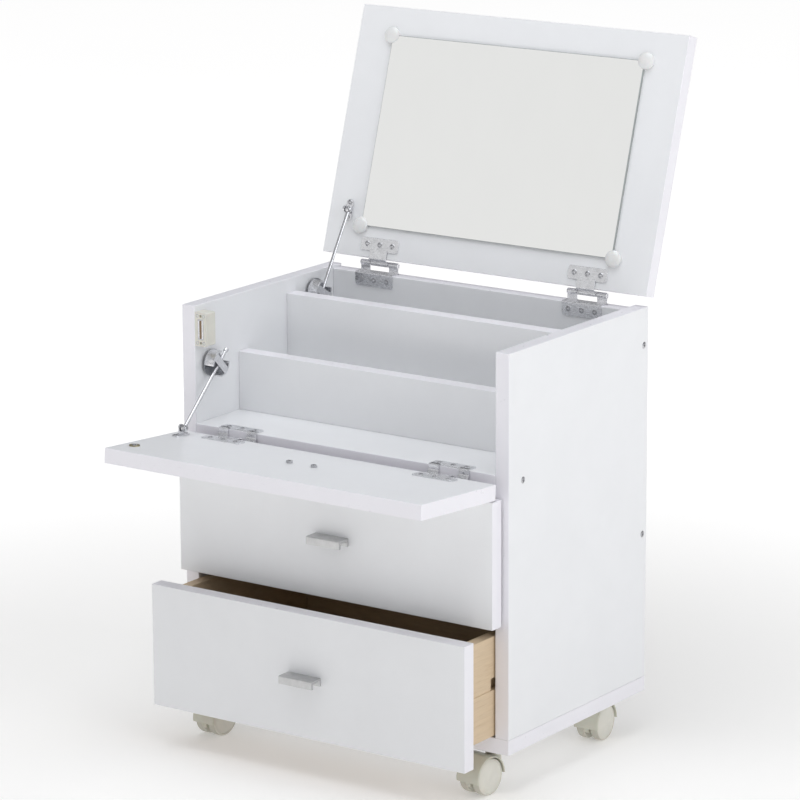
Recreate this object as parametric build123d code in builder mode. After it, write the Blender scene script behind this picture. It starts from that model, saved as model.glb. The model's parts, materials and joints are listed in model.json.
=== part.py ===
"""Mobile vanity table with a lid mirror: carcass, two drawers, drop flap, lid, stays and casters.

Frame: origin on the floor under the middle of the open vanity, +X to the sitter's right,
+Y to the back and +Z up. The lid and the flap are open and the lower drawer is part way out.
"""

import os
from math import atan2, cos, degrees, hypot, radians, sin

from build123d import *

os.makedirs("parts", exist_ok=True)

# Carcass
width = 400.0
depth = 256.0
height = 408.0
board = 16.0
caster_height = 46.0
front_y = -101.0
back_y = front_y + depth
base_z = caster_height
floor_z = base_z + board
top_z = base_z + height
inner_x = width / 2 - board
back_inner_y = back_y - board
back_drop = 3.0
back_top = top_z - back_drop
shelf_top = base_z + 285.0
shelf_bottom = shelf_top - board
front_divider_y = front_y + 73.0
front_divider_height = 62.0
rear_divider_y = front_y + 157.0
rear_divider_height = 108.0

# Lid and flap: boards that turn on offset knuckle hinges
lid_width = 405.0
lid_height = 268.0
lid_lean = 17.2
lid_axis_y = back_y - 5.1
lid_axis_z = top_z + 6.1
lid_edge_gap = 4.6
lid_face_offset = 5.6
flap_width = 385.0
flap_height = 127.2
flap_rise = 3.9
flap_axis_y = front_y - 5.9
flap_axis_z = shelf_top - 10.1
flap_edge_gap = 5.4
flap_face_offset = 3.9

# Hinges, pressed from sheet
sheet = 1.2
hinge_x = 130.0
hinge_width = 48.0
tab_inner = 12.0
neck_half = 11.0
head_length = 14.0
head_start = 7.5
knuckle_r = 3.0
pin_r = 1.5
running_gap = 0.05
hinge_screw_x = 16.0

# Screws
head_r = 3.0
shank_r = 1.5
screw_length = 12.0
joint_screw_length = 40.0
bolt_r = 2.0

# Mirror
mirror_width = 313.0
mirror_height = 204.5
mirror_thick = 3.0
mirror_bottom = 33.0
clip_r = 9.0
clip_height = 6.2

# Drawers
drawer_width = 386.0
drawer_height = 129.5
drawer_gap = 3.7
front_clear = 2.3
lower_front_z = base_z - 0.5
upper_front_z = lower_front_z + drawer_height + drawer_gap
lower_open = 48.6
side_clear = 1.6
side_thick = 12.0
side_height = 103.0
side_rise = 18.5
drawer_length = 232.0
bottom_thick = 4.0
bottom_rise = 8.0
groove_in = 4.0
runner_rise = 54.0
runner_height = 11.6
runner_thick = 7.0
runner_length = 184.0
runner_inset = 47.0
runner_groove_height = 12.4
runner_groove_depth = 6.4
groove_stop = 46.0
score_depth = 0.8
score_height = 1.0

# Pulls
pull_width = 41.0
pull_depth = 16.5
pull_drop = 8.4
pull_top = 2.6
pull_lip = 3.0
pull_flange = 2.4
pull_rise = 2.0
flap_pull_top = 62.2
pull_screw_x = 15.0
pull_screw_drop = 5.2

# Stays: a rod from a bracket on the moving board slides through a swivelling cup
rod_x = -172.0
rod_r = 1.75
eye_r = 3.6
eye_thick = 4.0
tail_length = 15.0
knob_r = 2.6
knob_length = 4.0
cup_r = 14.0
cup_wall = 2.0
cup_back_x = -181.5
cup_front_x = -168.5
cup_slot = 18.8
cup_bridge = 1.3
stud_r = 2.5
lid_bracket_along = 52.0
lid_bracket_off = 14.0
flap_bracket_along = 30.0
flap_bracket_off = 12.0
lid_cup = (front_y + 203.0, base_z + 387.0)
flap_cup = (front_y + 24.0, base_z + 345.0)

# Magnetic catch
catch_width = 14.5
catch_depth = 15.0
catch_height = 35.0
catch_z = base_z + 384.0
catch_front = front_y + 0.6
magnet_width = 5.0
magnet_height = 19.0
magnet_depth = 11.0
striker_r = 5.6
striker_x = -(inner_x - catch_width / 2)
striker_up = 99.0

# Casters
caster_x = 166.0
caster_inset = 24.0
trail = 20.0
wheel_r = 19.0
wheel_width = 11.0
web = 5.0
wheel_gap = 0.6
hood_inner = 20.0
hood_outer = 22.0
hood_half = 14.2
hood_sweep = 188.0
axle_r = 2.5
stem_r = 4.0
boss_r = 8.0
plate_size = 36.0
plate_thick = 2.5
plate_screw = 12.5
headings = {"front_left": -3.0, "front_right": -5.0, "rear_left": 3.0, "rear_right": 4.0}


def save(builder, name):
    """Label a finished piece and write its STEP file."""
    builder.part.label = name
    export_step(builder.part, f"parts/{name}.step")


def panel(x_span, y_span, z_span):
    """A flat board between the given coordinates, as a builder."""
    with BuildPart() as made:
        with Locations([(sum(x_span) / 2, sum(y_span) / 2, sum(z_span) / 2)]):
            Box(x_span[1] - x_span[0], y_span[1] - y_span[0], z_span[1] - z_span[0])
    return made


def board_plane(axis_y, axis_z, up, normal, edge_gap, face_offset):
    """The inner face of a hinged board, with its origin on the edge beside the hinge."""
    origin = Vector(0, axis_y, axis_z) + up * edge_gap + normal * face_offset
    return Plane(origin=origin, x_dir=(1, 0, 0), z_dir=normal)


lid_up = Vector(0, sin(radians(lid_lean)), cos(radians(lid_lean)))
lid_normal = Vector(0, -cos(radians(lid_lean)), sin(radians(lid_lean)))
lid_face = board_plane(lid_axis_y, lid_axis_z, lid_up, lid_normal, lid_edge_gap, lid_face_offset)
flap_out = Vector(0, -cos(radians(flap_rise)), sin(radians(flap_rise)))
flap_normal = Vector(0, sin(radians(flap_rise)), cos(radians(flap_rise)))
flap_face = board_plane(
    flap_axis_y, flap_axis_z, flap_out, flap_normal, flap_edge_gap, flap_face_offset
)
hinge_centres = (-hinge_x, hinge_x)
hinge_screw_xs = [x + side * hinge_screw_x for x in hinge_centres for side in (-1, 0, 1)]

# Wood screw and joint screw, head up at the origin
with BuildPart() as wood_screw:
    with BuildSketch(Plane.XZ):
        with BuildLine():
            Polyline(
                (0, 0),
                (head_r, 0),
                (shank_r, shank_r - head_r),
                (shank_r, shank_r - screw_length),
                (0, -screw_length),
                (0, 0),
            )
        make_face()
    revolve(axis=Axis.Z)

with BuildPart() as joint_screw:
    with Locations((0, 0, -1)):
        Cylinder(3.5, 2)
    with Locations((0, 0, -joint_screw_length / 2)):
        Cylinder(bolt_r, joint_screw_length)

# Where each family of screws sits
plate_screws_flap = [Pos(x, front_y + 6.5, shelf_top + sheet) for x in hinge_screw_xs]
plate_screws_lid = [
    Pos(x, back_inner_y - sheet, back_top - 7.0) * Rot(90, 0, 0) for x in hinge_screw_xs
]
leaf_screws_lid = [lid_face * Pos(x, head_start + 7.0, sheet) for x in hinge_screw_xs]
leaf_screws_flap = [flap_face * Pos(x, -head_start - 7.0, sheet) for x in hinge_screw_xs]
runner_zs = [z + side_rise + runner_rise for z in (lower_front_z, upper_front_z)]
runner_face_x = inner_x - runner_thick
runner_screw_ys = (front_y + runner_inset + 20.0, front_y + runner_inset + 160.0)
runner_screws_left = [
    Pos(-runner_face_x, y, z) * Rot(0, 90, 0) for y in runner_screw_ys for z in runner_zs
]
runner_screws_right = [
    Pos(runner_face_x, y, z) * Rot(0, -90, 0) for y in runner_screw_ys for z in runner_zs
]
side_screw_spots = [
    (back_y - board / 2, base_z + 170.0),
    (back_y - board / 2, base_z + 369.0),
    (front_y + 25.0, shelf_top - board / 2),
]
joint_screws_left = [Pos(-width / 2, y, z) * Rot(0, -90, 0) for y, z in side_screw_spots]
joint_screws_right = [Pos(width / 2, y, z) * Rot(0, 90, 0) for y, z in side_screw_spots]
joint_screws_under = [
    Pos(side * (width - board) / 2, front_y + y, base_z) * Rot(180, 0, 0)
    for side in (-1, 1)
    for y in (60.0, 196.0)
]
caster_spots = {
    "front_left": (-caster_x, front_y + caster_inset),
    "front_right": (caster_x, front_y + caster_inset),
    "rear_left": (-caster_x, back_y - caster_inset),
    "rear_right": (caster_x, back_y - caster_inset),
}
caster_screws = [
    Pos(x + dx, y + dy, base_z - plate_thick) * Rot(180, 0, 0)
    for x, y in caster_spots.values()
    for dx in (-plate_screw, plate_screw)
    for dy in (-plate_screw, plate_screw)
]


def cut_screws(board_builder, screw, spots):
    """Drill a board for a family of screws."""
    with board_builder:
        with Locations(*spots):
            add(screw.part, mode=Mode.SUBTRACT)


def screw_group(name, families):
    """Write one node that holds every screw of the given families."""
    with BuildPart() as group:
        for screw, spots in families:
            with Locations(*spots):
                add(screw.part)
    save(group, name)


# Carcass boards
for name, side, joint_spots, runner_spots in (
    ("side_panel_left", -1, joint_screws_left, runner_screws_left),
    ("side_panel_right", 1, joint_screws_right, runner_screws_right),
):
    side_board = panel(
        sorted((side * inner_x, side * width / 2)), (front_y, back_y), (floor_z, top_z)
    )
    cut_screws(side_board, joint_screw, joint_spots + joint_screws_under)
    cut_screws(side_board, wood_screw, runner_spots)
    save(side_board, name)

bottom_board = panel((-width / 2, width / 2), (front_y, back_y), (base_z, floor_z))
cut_screws(bottom_board, joint_screw, joint_screws_under)
cut_screws(bottom_board, wood_screw, caster_screws)
save(bottom_board, "bottom_board")

back_panel = panel((-inner_x, inner_x), (back_inner_y, back_y), (floor_z, back_top))
cut_screws(back_panel, joint_screw, joint_screws_left + joint_screws_right)
cut_screws(back_panel, wood_screw, plate_screws_lid)
save(back_panel, "back_panel")

middle_shelf = panel((-inner_x, inner_x), (front_y, back_inner_y), (shelf_bottom, shelf_top))
cut_screws(middle_shelf, joint_screw, joint_screws_left + joint_screws_right)
cut_screws(middle_shelf, wood_screw, plate_screws_flap)
save(middle_shelf, "middle_shelf")

for name, y, rise in (
    ("front_divider", front_divider_y, front_divider_height),
    ("rear_divider", rear_divider_y, rear_divider_height),
):
    save(panel((-inner_x, inner_x), (y, y + board), (shelf_top, shelf_top + rise)), name)

screw_group(
    "assembly_screws",
    [(joint_screw, joint_screws_left + joint_screws_right + joint_screws_under)],
)
screw_group(
    "wood_screws",
    [
        (wood_screw, plate_screws_flap + plate_screws_lid),
        (wood_screw, runner_screws_left + runner_screws_right + caster_screws),
    ],
)

# Drawer runners, screwed to the side panels
with BuildPart() as drawer_runners:
    for side in (-1, 1):
        for z in runner_zs:
            with Locations(
                (side * (inner_x - runner_thick / 2), front_y + runner_inset + runner_length / 2, z)
            ):
                Box(runner_thick, runner_length, runner_height)
cut_screws(drawer_runners, wood_screw, runner_screws_left + runner_screws_right)
save(drawer_runners, "drawer_runners")


def knuckle(centre_x, half, axis_y, axis_z):
    """One barrel of a hinge, added to the open builder."""
    with Locations(Pos(centre_x, axis_y, axis_z) * Rot(0, 90, 0)):
        Cylinder(knuckle_r, 2 * half)


def hinge_bore(centre_x, axis_y, axis_z):
    """Bore the pin's hole through a leaf in the open builder."""
    with Locations(Pos(centre_x, axis_y, axis_z) * Rot(0, 90, 0)):
        Cylinder(pin_r + running_gap, hinge_width + 2, mode=Mode.SUBTRACT)


def tab_centres(centre_x):
    """Middles of a fixed plate's two tabs."""
    middle = (tab_inner + hinge_width / 2) / 2
    return (centre_x - middle, centre_x + middle)


tab_half = (hinge_width / 2 - tab_inner) / 2

# Fixed plates of the lid hinges: on the back panel's inner face, over its top, up to the pin
lid_tab_y = lid_axis_y - 1.3
with BuildPart() as lid_hinge_plates:
    for x in hinge_centres:
        with BuildSketch(Plane.YZ.offset(x - hinge_width / 2)):
            with BuildLine():
                Polyline(
                    (back_inner_y - sheet, back_top - 14.0),
                    (back_inner_y, back_top - 14.0),
                    (back_inner_y, back_top),
                    (lid_tab_y + sheet, back_top),
                    (lid_tab_y + sheet, back_top + sheet),
                    (back_inner_y - sheet, back_top + sheet),
                    (back_inner_y - sheet, back_top - 14.0),
                )
            make_face()
        extrude(amount=hinge_width)
        for tab_x in tab_centres(x):
            with Locations(
                (tab_x, lid_tab_y + sheet / 2, (back_top + lid_axis_z) / 2)
            ):
                Box(2 * tab_half, sheet, lid_axis_z - back_top)
            knuckle(tab_x, tab_half, lid_axis_y, lid_axis_z)
        hinge_bore(x, lid_axis_y, lid_axis_z)
cut_screws(lid_hinge_plates, wood_screw, plate_screws_lid)
save(lid_hinge_plates, "lid_hinge_plates")

# Fixed plates of the flap hinges: on the shelf, with two tabs bent over its front edge
with BuildPart() as flap_hinge_plates:
    for x in hinge_centres:
        with Locations((x, front_y + 6.6, shelf_top + sheet / 2)):
            Box(hinge_width, 12.8, sheet)
        for tab_x in tab_centres(x):
            with BuildSketch(Plane.YZ.offset(tab_x - tab_half)):
                with BuildLine():
                    Polyline(
                        (front_y + 0.4, shelf_top),
                        (front_y - 0.4, shelf_top),
                        (front_y - 0.4, shelf_top - 5.0),
                        (flap_axis_y + 2.8, flap_axis_z - 0.6),
                        (flap_axis_y + 0.9, flap_axis_z + 2.7),
                        (front_y - 1.6, shelf_top - 5.0),
                        (front_y - 1.6, shelf_top + sheet),
                        (front_y + 0.4, shelf_top + sheet),
                        (front_y + 0.4, shelf_top),
                    )
                make_face()
            extrude(amount=2 * tab_half)
            knuckle(tab_x, tab_half, flap_axis_y, flap_axis_z)
        hinge_bore(x, flap_axis_y, flap_axis_z)
cut_screws(flap_hinge_plates, wood_screw, plate_screws_flap)
save(flap_hinge_plates, "flap_hinge_plates")

with BuildPart() as hinge_pins:
    for y, z in ((lid_axis_y, lid_axis_z), (flap_axis_y, flap_axis_z)):
        with Locations(*[Pos(x, y, z) * Rot(0, 90, 0) for x in hinge_centres]):
            Cylinder(pin_r, hinge_width + 1.0)
save(hinge_pins, "hinge_pins")


def hinge_leaves(face, outward, edge_gap, face_offset, screws):
    """The moving T-shaped leaves, in the plane of the board they lie on.

    `outward` is the sign of the plane's Y on the hinge side of the board's edge.
    """
    with BuildPart() as leaves:
        for x in hinge_centres:
            with Locations(face * Pos(x, -outward * (head_start + head_length / 2), sheet / 2)):
                Box(hinge_width, head_length, sheet)
            profile = Plane(
                origin=face.from_local_coords((x - neck_half, 0, 0)),
                x_dir=face.y_dir * outward,
                z_dir=Vector(outward, 0, 0),
            )
            with BuildSketch(profile):
                with BuildLine():
                    Polyline(
                        (-head_start - 1.0, 0),
                        (0.5, 0),
                        (edge_gap - knuckle_r + 0.1, -face_offset),
                        (edge_gap - knuckle_r + 1.4, -face_offset),
                        (1.7, sheet),
                        (-head_start - 1.0, sheet),
                        (-head_start - 1.0, 0),
                    )
                make_face()
            extrude(amount=outward * 2 * neck_half)
            axis_point = face.from_local_coords((x, outward * edge_gap, -face_offset))
            knuckle(x, neck_half, axis_point.Y, axis_point.Z)
            hinge_bore(x, axis_point.Y, axis_point.Z)
    cut_screws(leaves, wood_screw, screws)
    return leaves


save(
    hinge_leaves(lid_face, -1, lid_edge_gap, lid_face_offset, leaf_screws_lid),
    "lid_hinge_leaves",
)
save(
    hinge_leaves(flap_face, 1, flap_edge_gap, flap_face_offset, leaf_screws_flap),
    "flap_hinge_leaves",
)

# Stays
bracket_screw_along = 8.0
foot_width = 9.0
foot_length = 23.0
bracket_foot_x = -176.5
ear_x = -177.3
ear_thick = 2.0
foot_thick = 1.5


def bracket_spot(outward, edge_gap, face_offset, along, off):
    """The rod's pivot in the board's plane, from its distances to the hinge's axis."""
    return (outward * (edge_gap - along), off - face_offset)


lid_pivot = bracket_spot(-1, lid_edge_gap, lid_face_offset, lid_bracket_along, lid_bracket_off)
flap_pivot = bracket_spot(
    1, flap_edge_gap, flap_face_offset, flap_bracket_along, flap_bracket_off
)


def bracket_screws(face, pivot):
    """Places of a stay bracket's two screws."""
    return [
        face * Pos(bracket_foot_x, pivot[0] + side * bracket_screw_along, foot_thick)
        for side in (-1, 1)
    ]


lid_bracket_screws = bracket_screws(lid_face, lid_pivot)
flap_bracket_screws = bracket_screws(flap_face, flap_pivot)


def stay_bracket(face, pivot, screws, name):
    """A foot on the board with an ear and the pin that the stay's rod turns on."""
    with BuildPart() as bracket:
        with Locations(face * Pos(bracket_foot_x, pivot[0], foot_thick / 2)):
            Box(foot_width, foot_length, foot_thick)
        with Locations(face * Pos(ear_x + ear_thick / 2, pivot[0], pivot[1] / 2)):
            Box(ear_thick, 8.0, pivot[1])
        pin_end = rod_x + eye_thick / 2 + 0.4
        across = face * Pos(0, pivot[0], pivot[1]) * Rot(0, 90, 0)
        with Locations(across * Pos(0, 0, ear_x + ear_thick / 2)):
            Cylinder(4.0, ear_thick)
        with Locations(across * Pos(0, 0, (ear_x + pin_end) / 2)):
            Cylinder(pin_r, pin_end - ear_x)
        with Locations(across * Pos(0, 0, pin_end + 0.5)):
            Cylinder(3.0, 1.0)
    cut_screws(bracket, wood_screw, screws)
    save(bracket, name)


def stay_rod(face, pivot, cup, name):
    """A rod from its eye on the bracket through the cup to a knob that stops it."""
    start = face.from_local_coords((rod_x, pivot[0], pivot[1]))
    run = hypot(cup[0] - start.Y, cup[1] - start.Z)
    along = Vector(0, cup[0] - start.Y, cup[1] - start.Z) / run
    with BuildPart() as rod:
        with Locations(Pos(start) * Rot(0, 90, 0)):
            Cylinder(eye_r, eye_thick)
        with BuildSketch(Plane(origin=start, x_dir=(1, 0, 0), z_dir=along)):
            Circle(rod_r)
        extrude(amount=run + tail_length)
        tail = start + along * (run + tail_length)
        with BuildSketch(Plane(origin=tail, x_dir=(1, 0, 0), z_dir=along)):
            Circle(knob_r)
        extrude(amount=knob_length)
        fillet(rod.edges().filter_by(GeomType.CIRCLE).group_by(SortBy.RADIUS)[-2], 0.6)
        with Locations(Pos(start) * Rot(0, 90, 0)):
            Cylinder(pin_r + running_gap, eye_thick + 1, mode=Mode.SUBTRACT)
    save(rod, name)
    return degrees(atan2(along.Z, along.Y))


def stay_cup(cup, angle, name):
    """The swivelling guide: a cup on the panel with a slot for the rod and a bridge over it."""
    depth_x = cup_front_x - cup_back_x
    place = Pos(cup_back_x, cup[0], cup[1]) * Rot(angle, 0, 0) * Rot(0, 90, 0)
    with BuildPart() as made:
        with Locations(place * Pos(0, 0, depth_x / 2)):
            Cylinder(cup_r, depth_x)
        with Locations(place * Pos(0, 0, cup_wall + depth_x / 2)):
            Cylinder(cup_r - cup_wall, depth_x, mode=Mode.SUBTRACT)
            Box(cup_slot, 3 * cup_r, depth_x, mode=Mode.SUBTRACT)
        with Locations(place * Pos(0, 0, depth_x - cup_bridge / 2)):
            Box(2 * cup_r - 2 * cup_wall + 1.0, 8.0, cup_bridge)
        with Locations(place):
            Cylinder(stud_r + running_gap, 4 * cup_wall, mode=Mode.SUBTRACT)
    save(made, name)


for face, pivot, screws, cup, prefix in (
    (lid_face, lid_pivot, lid_bracket_screws, lid_cup, "lid"),
    (flap_face, flap_pivot, flap_bracket_screws, flap_cup, "flap"),
):
    stay_bracket(face, pivot, screws, f"{prefix}_stay_bracket")
    stay_cup(cup, stay_rod(face, pivot, cup, f"{prefix}_stay_rod"), f"{prefix}_stay_cup")

with BuildPart() as stay_pivots:
    for y, z in (lid_cup, flap_cup):
        across = Pos(-inner_x, y, z) * Rot(0, 90, 0)
        with Locations(across * Pos(0, 0, 1.1)):
            Cylinder(6.0, 2.2)
        with Locations(across * Pos(0, 0, 3.0)):
            Cylinder(stud_r, 6.0)
        with Locations(across * Pos(0, 0, 5.55)):
            Cylinder(4.0, 1.5)
save(stay_pivots, "stay_pivots")

# Lid with its mirror
clip_spots = [
    (side * (mirror_width / 2 + 1.5), mirror_bottom + up)
    for side in (-1, 1)
    for up in (0.0, mirror_height)
]
with BuildPart() as lid:
    with Locations(lid_face * Pos(0, lid_height / 2, -board / 2)):
        Box(lid_width, lid_height, board)
cut_screws(lid, wood_screw, leaf_screws_lid + lid_bracket_screws)
save(lid, "lid")

mirror_middle = mirror_bottom + mirror_height / 2
with BuildPart() as mirror:
    with Locations(lid_face * Pos(0, mirror_middle, mirror_thick / 2)):
        Box(mirror_width, mirror_height, mirror_thick)
save(mirror, "mirror")

with BuildPart() as clip:
    with BuildSketch(Plane.XZ):
        with BuildLine():
            Polyline((0, clip_height), (0, 0), (clip_r, 0), (clip_r, mirror_thick))
            ThreePointArc(
                (clip_r, mirror_thick), (0.68 * clip_r, clip_height - 0.9), (0, clip_height)
            )
        make_face()
    revolve(axis=Axis.Z)
with BuildPart() as mirror_clips:
    with Locations(*[lid_face * Pos(x, y, 0) for x, y in clip_spots]):
        add(clip.part)
    with Locations(lid_face * Pos(0, mirror_middle, mirror_thick / 2)):
        Box(mirror_width, mirror_height, mirror_thick, mode=Mode.SUBTRACT)
save(mirror_clips, "mirror_clips")
screw_group("lid_screws", [(wood_screw, leaf_screws_lid + lid_bracket_screws)])


# Pulls, screwed on from behind the board they are on
with BuildPart() as pull:
    with BuildSketch(Plane.YZ.offset(-pull_width / 2)):
        with BuildLine():
            Polyline(
                (0, 0),
                (0, -pull_drop),
                (-pull_flange, -pull_drop),
                (-pull_flange, -pull_top),
                (-pull_depth + pull_lip, -pull_top),
                (-pull_depth + pull_lip, -pull_drop),
                (-pull_depth, -pull_drop),
                (-pull_depth, 0),
                (0, 0),
            )
        make_face()
    extrude(amount=pull_width)
    fillet(pull.edges().filter_by(Axis.X).group_by(Axis.Y)[0].group_by(Axis.Z)[-1], 1.5)

pull_bolt_spots = [Pos(side * pull_screw_x, 0, -pull_screw_drop) for side in (-1, 1)]
with BuildPart() as pull_bolts:
    for spot in pull_bolt_spots:
        with Locations(spot * Pos(0, (board - pull_flange) / 2, 0) * Rot(90, 0, 0)):
            Cylinder(bolt_r, board + pull_flange)
        with Locations(spot * Pos(0, board + 1.0, 0) * Rot(90, 0, 0)):
            Cylinder(3.5, 2.0)


def fit_pull(board_builder, place, prefix):
    """Cut the bolt holes in a board, then write its pull and bolts."""
    with board_builder:
        with Locations(place):
            add(pull_bolts.part, mode=Mode.SUBTRACT)
    with BuildPart() as placed_pull:
        with Locations(place):
            add(pull.part)
            add(pull_bolts.part, mode=Mode.SUBTRACT)
    save(placed_pull, f"{prefix}_pull")
    with BuildPart() as placed_bolts:
        with Locations(place):
            add(pull_bolts.part)
    save(placed_bolts, f"{prefix}_pull_screws")


# Flap: its outer face looks down while it is open
striker_place = flap_face * Pos(striker_x, -striker_up, 0)
striker_screw = [striker_place * Pos(0, 0, sheet)]
with BuildPart() as flap:
    with Locations(flap_face * Pos(0, -flap_height / 2, -board / 2)):
        Box(flap_width, flap_height, board)
cut_screws(flap, wood_screw, leaf_screws_flap + flap_bracket_screws + striker_screw)
fit_pull(flap, flap_face * Pos(0, -flap_pull_top, -board) * Rot(90, 0, 0), "flap")
save(flap, "flap")
screw_group(
    "flap_screws",
    [(wood_screw, leaf_screws_flap + flap_bracket_screws + striker_screw)],
)
with BuildPart() as striker_plate:
    with Locations(striker_place * Pos(0, 0, sheet / 2)):
        Cylinder(striker_r, sheet)
cut_screws(striker_plate, wood_screw, striker_screw)
save(striker_plate, "striker_plate")

# Magnetic catch on the left side panel
catch_x = -inner_x + catch_width / 2
magnet_place = (catch_x, catch_front + magnet_depth / 2 - 0.4, catch_z)
with BuildPart() as magnetic_catch:
    with Locations((catch_x, catch_front + catch_depth / 2, catch_z)):
        Box(catch_width, catch_depth, catch_height)
    fillet(magnetic_catch.edges().filter_by(Axis.Y).sort_by(Axis.X)[-2:], 2.0)
    with Locations(magnet_place):
        Box(magnet_width, magnet_depth, magnet_height, mode=Mode.SUBTRACT)
    for up in (-14.0, 14.0):
        with Locations(Pos(catch_x, catch_front + 1.0, catch_z + up) * Rot(90, 0, 0)):
            Cylinder(1.6, 2.1, mode=Mode.SUBTRACT)
save(magnetic_catch, "magnetic_catch")

with BuildPart() as catch_magnet:
    with Locations(magnet_place):
        Box(magnet_width, magnet_depth, magnet_height)
save(catch_magnet, "catch_magnet")


def drawer(prefix, front_z, opened):
    """Write the boards, bottom and pull of one drawer, moved out by `opened`."""
    rear_of_front = front_y - front_clear - opened
    far_end = rear_of_front + drawer_length
    side_z = front_z + side_rise
    outer_x = inner_x - side_clear
    side_inner_x = outer_x - side_thick
    bottom_z = (side_z + bottom_rise, side_z + bottom_rise + bottom_thick)
    side_zs = (side_z, side_z + side_height)

    front = panel(
        (-drawer_width / 2, drawer_width / 2),
        (rear_of_front - board, rear_of_front),
        (front_z, front_z + drawer_height),
    )
    pull_z = front_z + drawer_height / 2 + pull_rise
    fit_pull(front, Pos(0, rear_of_front - board, pull_z), prefix)
    save(front, f"{prefix}_front")

    for word, side in (("left", -1), ("right", 1)):
        wall = panel(
            sorted((side * side_inner_x, side * outer_x)), (rear_of_front, far_end), side_zs
        )
        with wall:
            with Locations(
                (
                    side * (outer_x - runner_groove_depth / 2),
                    (rear_of_front + groove_stop + far_end) / 2,
                    side_z + runner_rise,
                )
            ):
                Box(
                    runner_groove_depth,
                    drawer_length - groove_stop,
                    runner_groove_height,
                    mode=Mode.SUBTRACT,
                )
            with Locations(
                (
                    side * (outer_x - score_depth / 2),
                    rear_of_front + groove_stop / 2,
                    side_z + runner_rise - (runner_groove_height - score_height) / 2,
                )
            ):
                Box(score_depth, groove_stop, score_height, mode=Mode.SUBTRACT)
            with Locations(
                (
                    side * (side_inner_x + groove_in / 2),
                    rear_of_front + drawer_length / 2,
                    sum(bottom_z) / 2,
                )
            ):
                Box(groove_in, drawer_length, bottom_thick, mode=Mode.SUBTRACT)
        save(wall, f"{prefix}_side_{word}")

    back_wall_y = (far_end - side_thick, far_end)
    save(panel((-side_inner_x, side_inner_x), back_wall_y, side_zs), f"{prefix}_back")
    reach = side_inner_x + groove_in
    save(
        panel((-reach, reach), (rear_of_front, far_end - side_thick), bottom_z),
        f"{prefix}_bottom",
    )


drawer("lower_drawer", lower_front_z, lower_open)
drawer("upper_drawer", upper_front_z, 0.0)

# Casters, built round the stem's axis with the floor at zero and the wheels in front of it
side_of_caster = Plane.YZ
axle_place = Pos(0, -trail, wheel_r) * Rot(0, 90, 0)
wheel_middle = web / 2 + wheel_gap + wheel_width / 2
with BuildPart() as hood:
    with BuildSketch(side_of_caster):
        with BuildLine():
            outer = CenterArc((-trail, wheel_r), hood_outer, 0, hood_sweep)
            inner = CenterArc((-trail, wheel_r), hood_inner, 0, hood_sweep)
            Line(outer @ 0, inner @ 0)
            Line(outer @ 1, inner @ 1)
        make_face()
    extrude(amount=hood_half, both=True)
    with BuildSketch(side_of_caster):
        with BuildLine():
            rim = CenterArc((-trail, wheel_r), hood_inner + 0.5, -20, hood_sweep + 15)
            Line(rim @ 1, (-trail, wheel_r))
            Line((-trail, wheel_r), rim @ 0)
        make_face()
        with Locations((-trail, wheel_r)):
            Circle(6.0)
    extrude(amount=web / 2, both=True)
    with Locations((0, 0, base_z - plate_thick - 0.3 - 7.0)):
        Cylinder(boss_r, 14.0)
    for side in (-1, 1):
        with Locations(axle_place * Pos(0, 0, side * (web / 2 + 10.0))):
            Cylinder(hood_inner, 20.0, mode=Mode.SUBTRACT)
    with Locations((0, 0, base_z - 7.0)):
        Cylinder(stem_r + running_gap, 14.0, mode=Mode.SUBTRACT)
    with Locations(axle_place):
        Cylinder(axle_r, 2 * hood_half, mode=Mode.SUBTRACT)

with BuildPart() as wheel_pair:
    for side in (-1, 1):
        with Locations(axle_place * Pos(0, 0, side * wheel_middle)):
            Cylinder(wheel_r, wheel_width)
    fillet(wheel_pair.edges().filter_by(GeomType.CIRCLE), 1.2)
    with Locations(axle_place):
        Cylinder(axle_r + running_gap, 2 * hood_half, mode=Mode.SUBTRACT)

with BuildPart() as axle:
    with Locations(axle_place):
        Cylinder(axle_r, 2 * (web / 2 + wheel_gap + wheel_width) - 2.0)

for name, (x, y) in caster_spots.items():
    place = Pos(x, y, 0) * Rot(0, 0, headings[name])
    for piece, source in (("hood", hood), ("wheels", wheel_pair), ("axle", axle)):
        with BuildPart() as placed:
            with Locations(place):
                add(source.part)
        save(placed, f"caster_{piece}_{name}")

with BuildPart() as caster_plates:
    for x, y in caster_spots.values():
        with Locations((x, y, base_z - plate_thick / 2)):
            Box(plate_size, plate_size, plate_thick)
        with Locations((x, y, base_z - 7.0)):
            Cylinder(stem_r, 13.0)
cut_screws(caster_plates, wood_screw, caster_screws)
save(caster_plates, "caster_plates")
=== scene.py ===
"""Blender scene of the mobile vanity table: cabinet, mirror lid, drop flap, drawers and casters.

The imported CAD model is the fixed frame. Boards are softened copies of its nodes, and the
fittings are modelled anew where their nodes stand. Sizes are in metres.
"""

import json
import logging
from collections.abc import Callable, Iterable, Sequence
from dataclasses import dataclass
from enum import Enum
from math import acos, atan2, cos, pi, radians, sin, tau

import bmesh
import bpy
import numpy as np
from mathutils import Matrix, Vector

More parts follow.
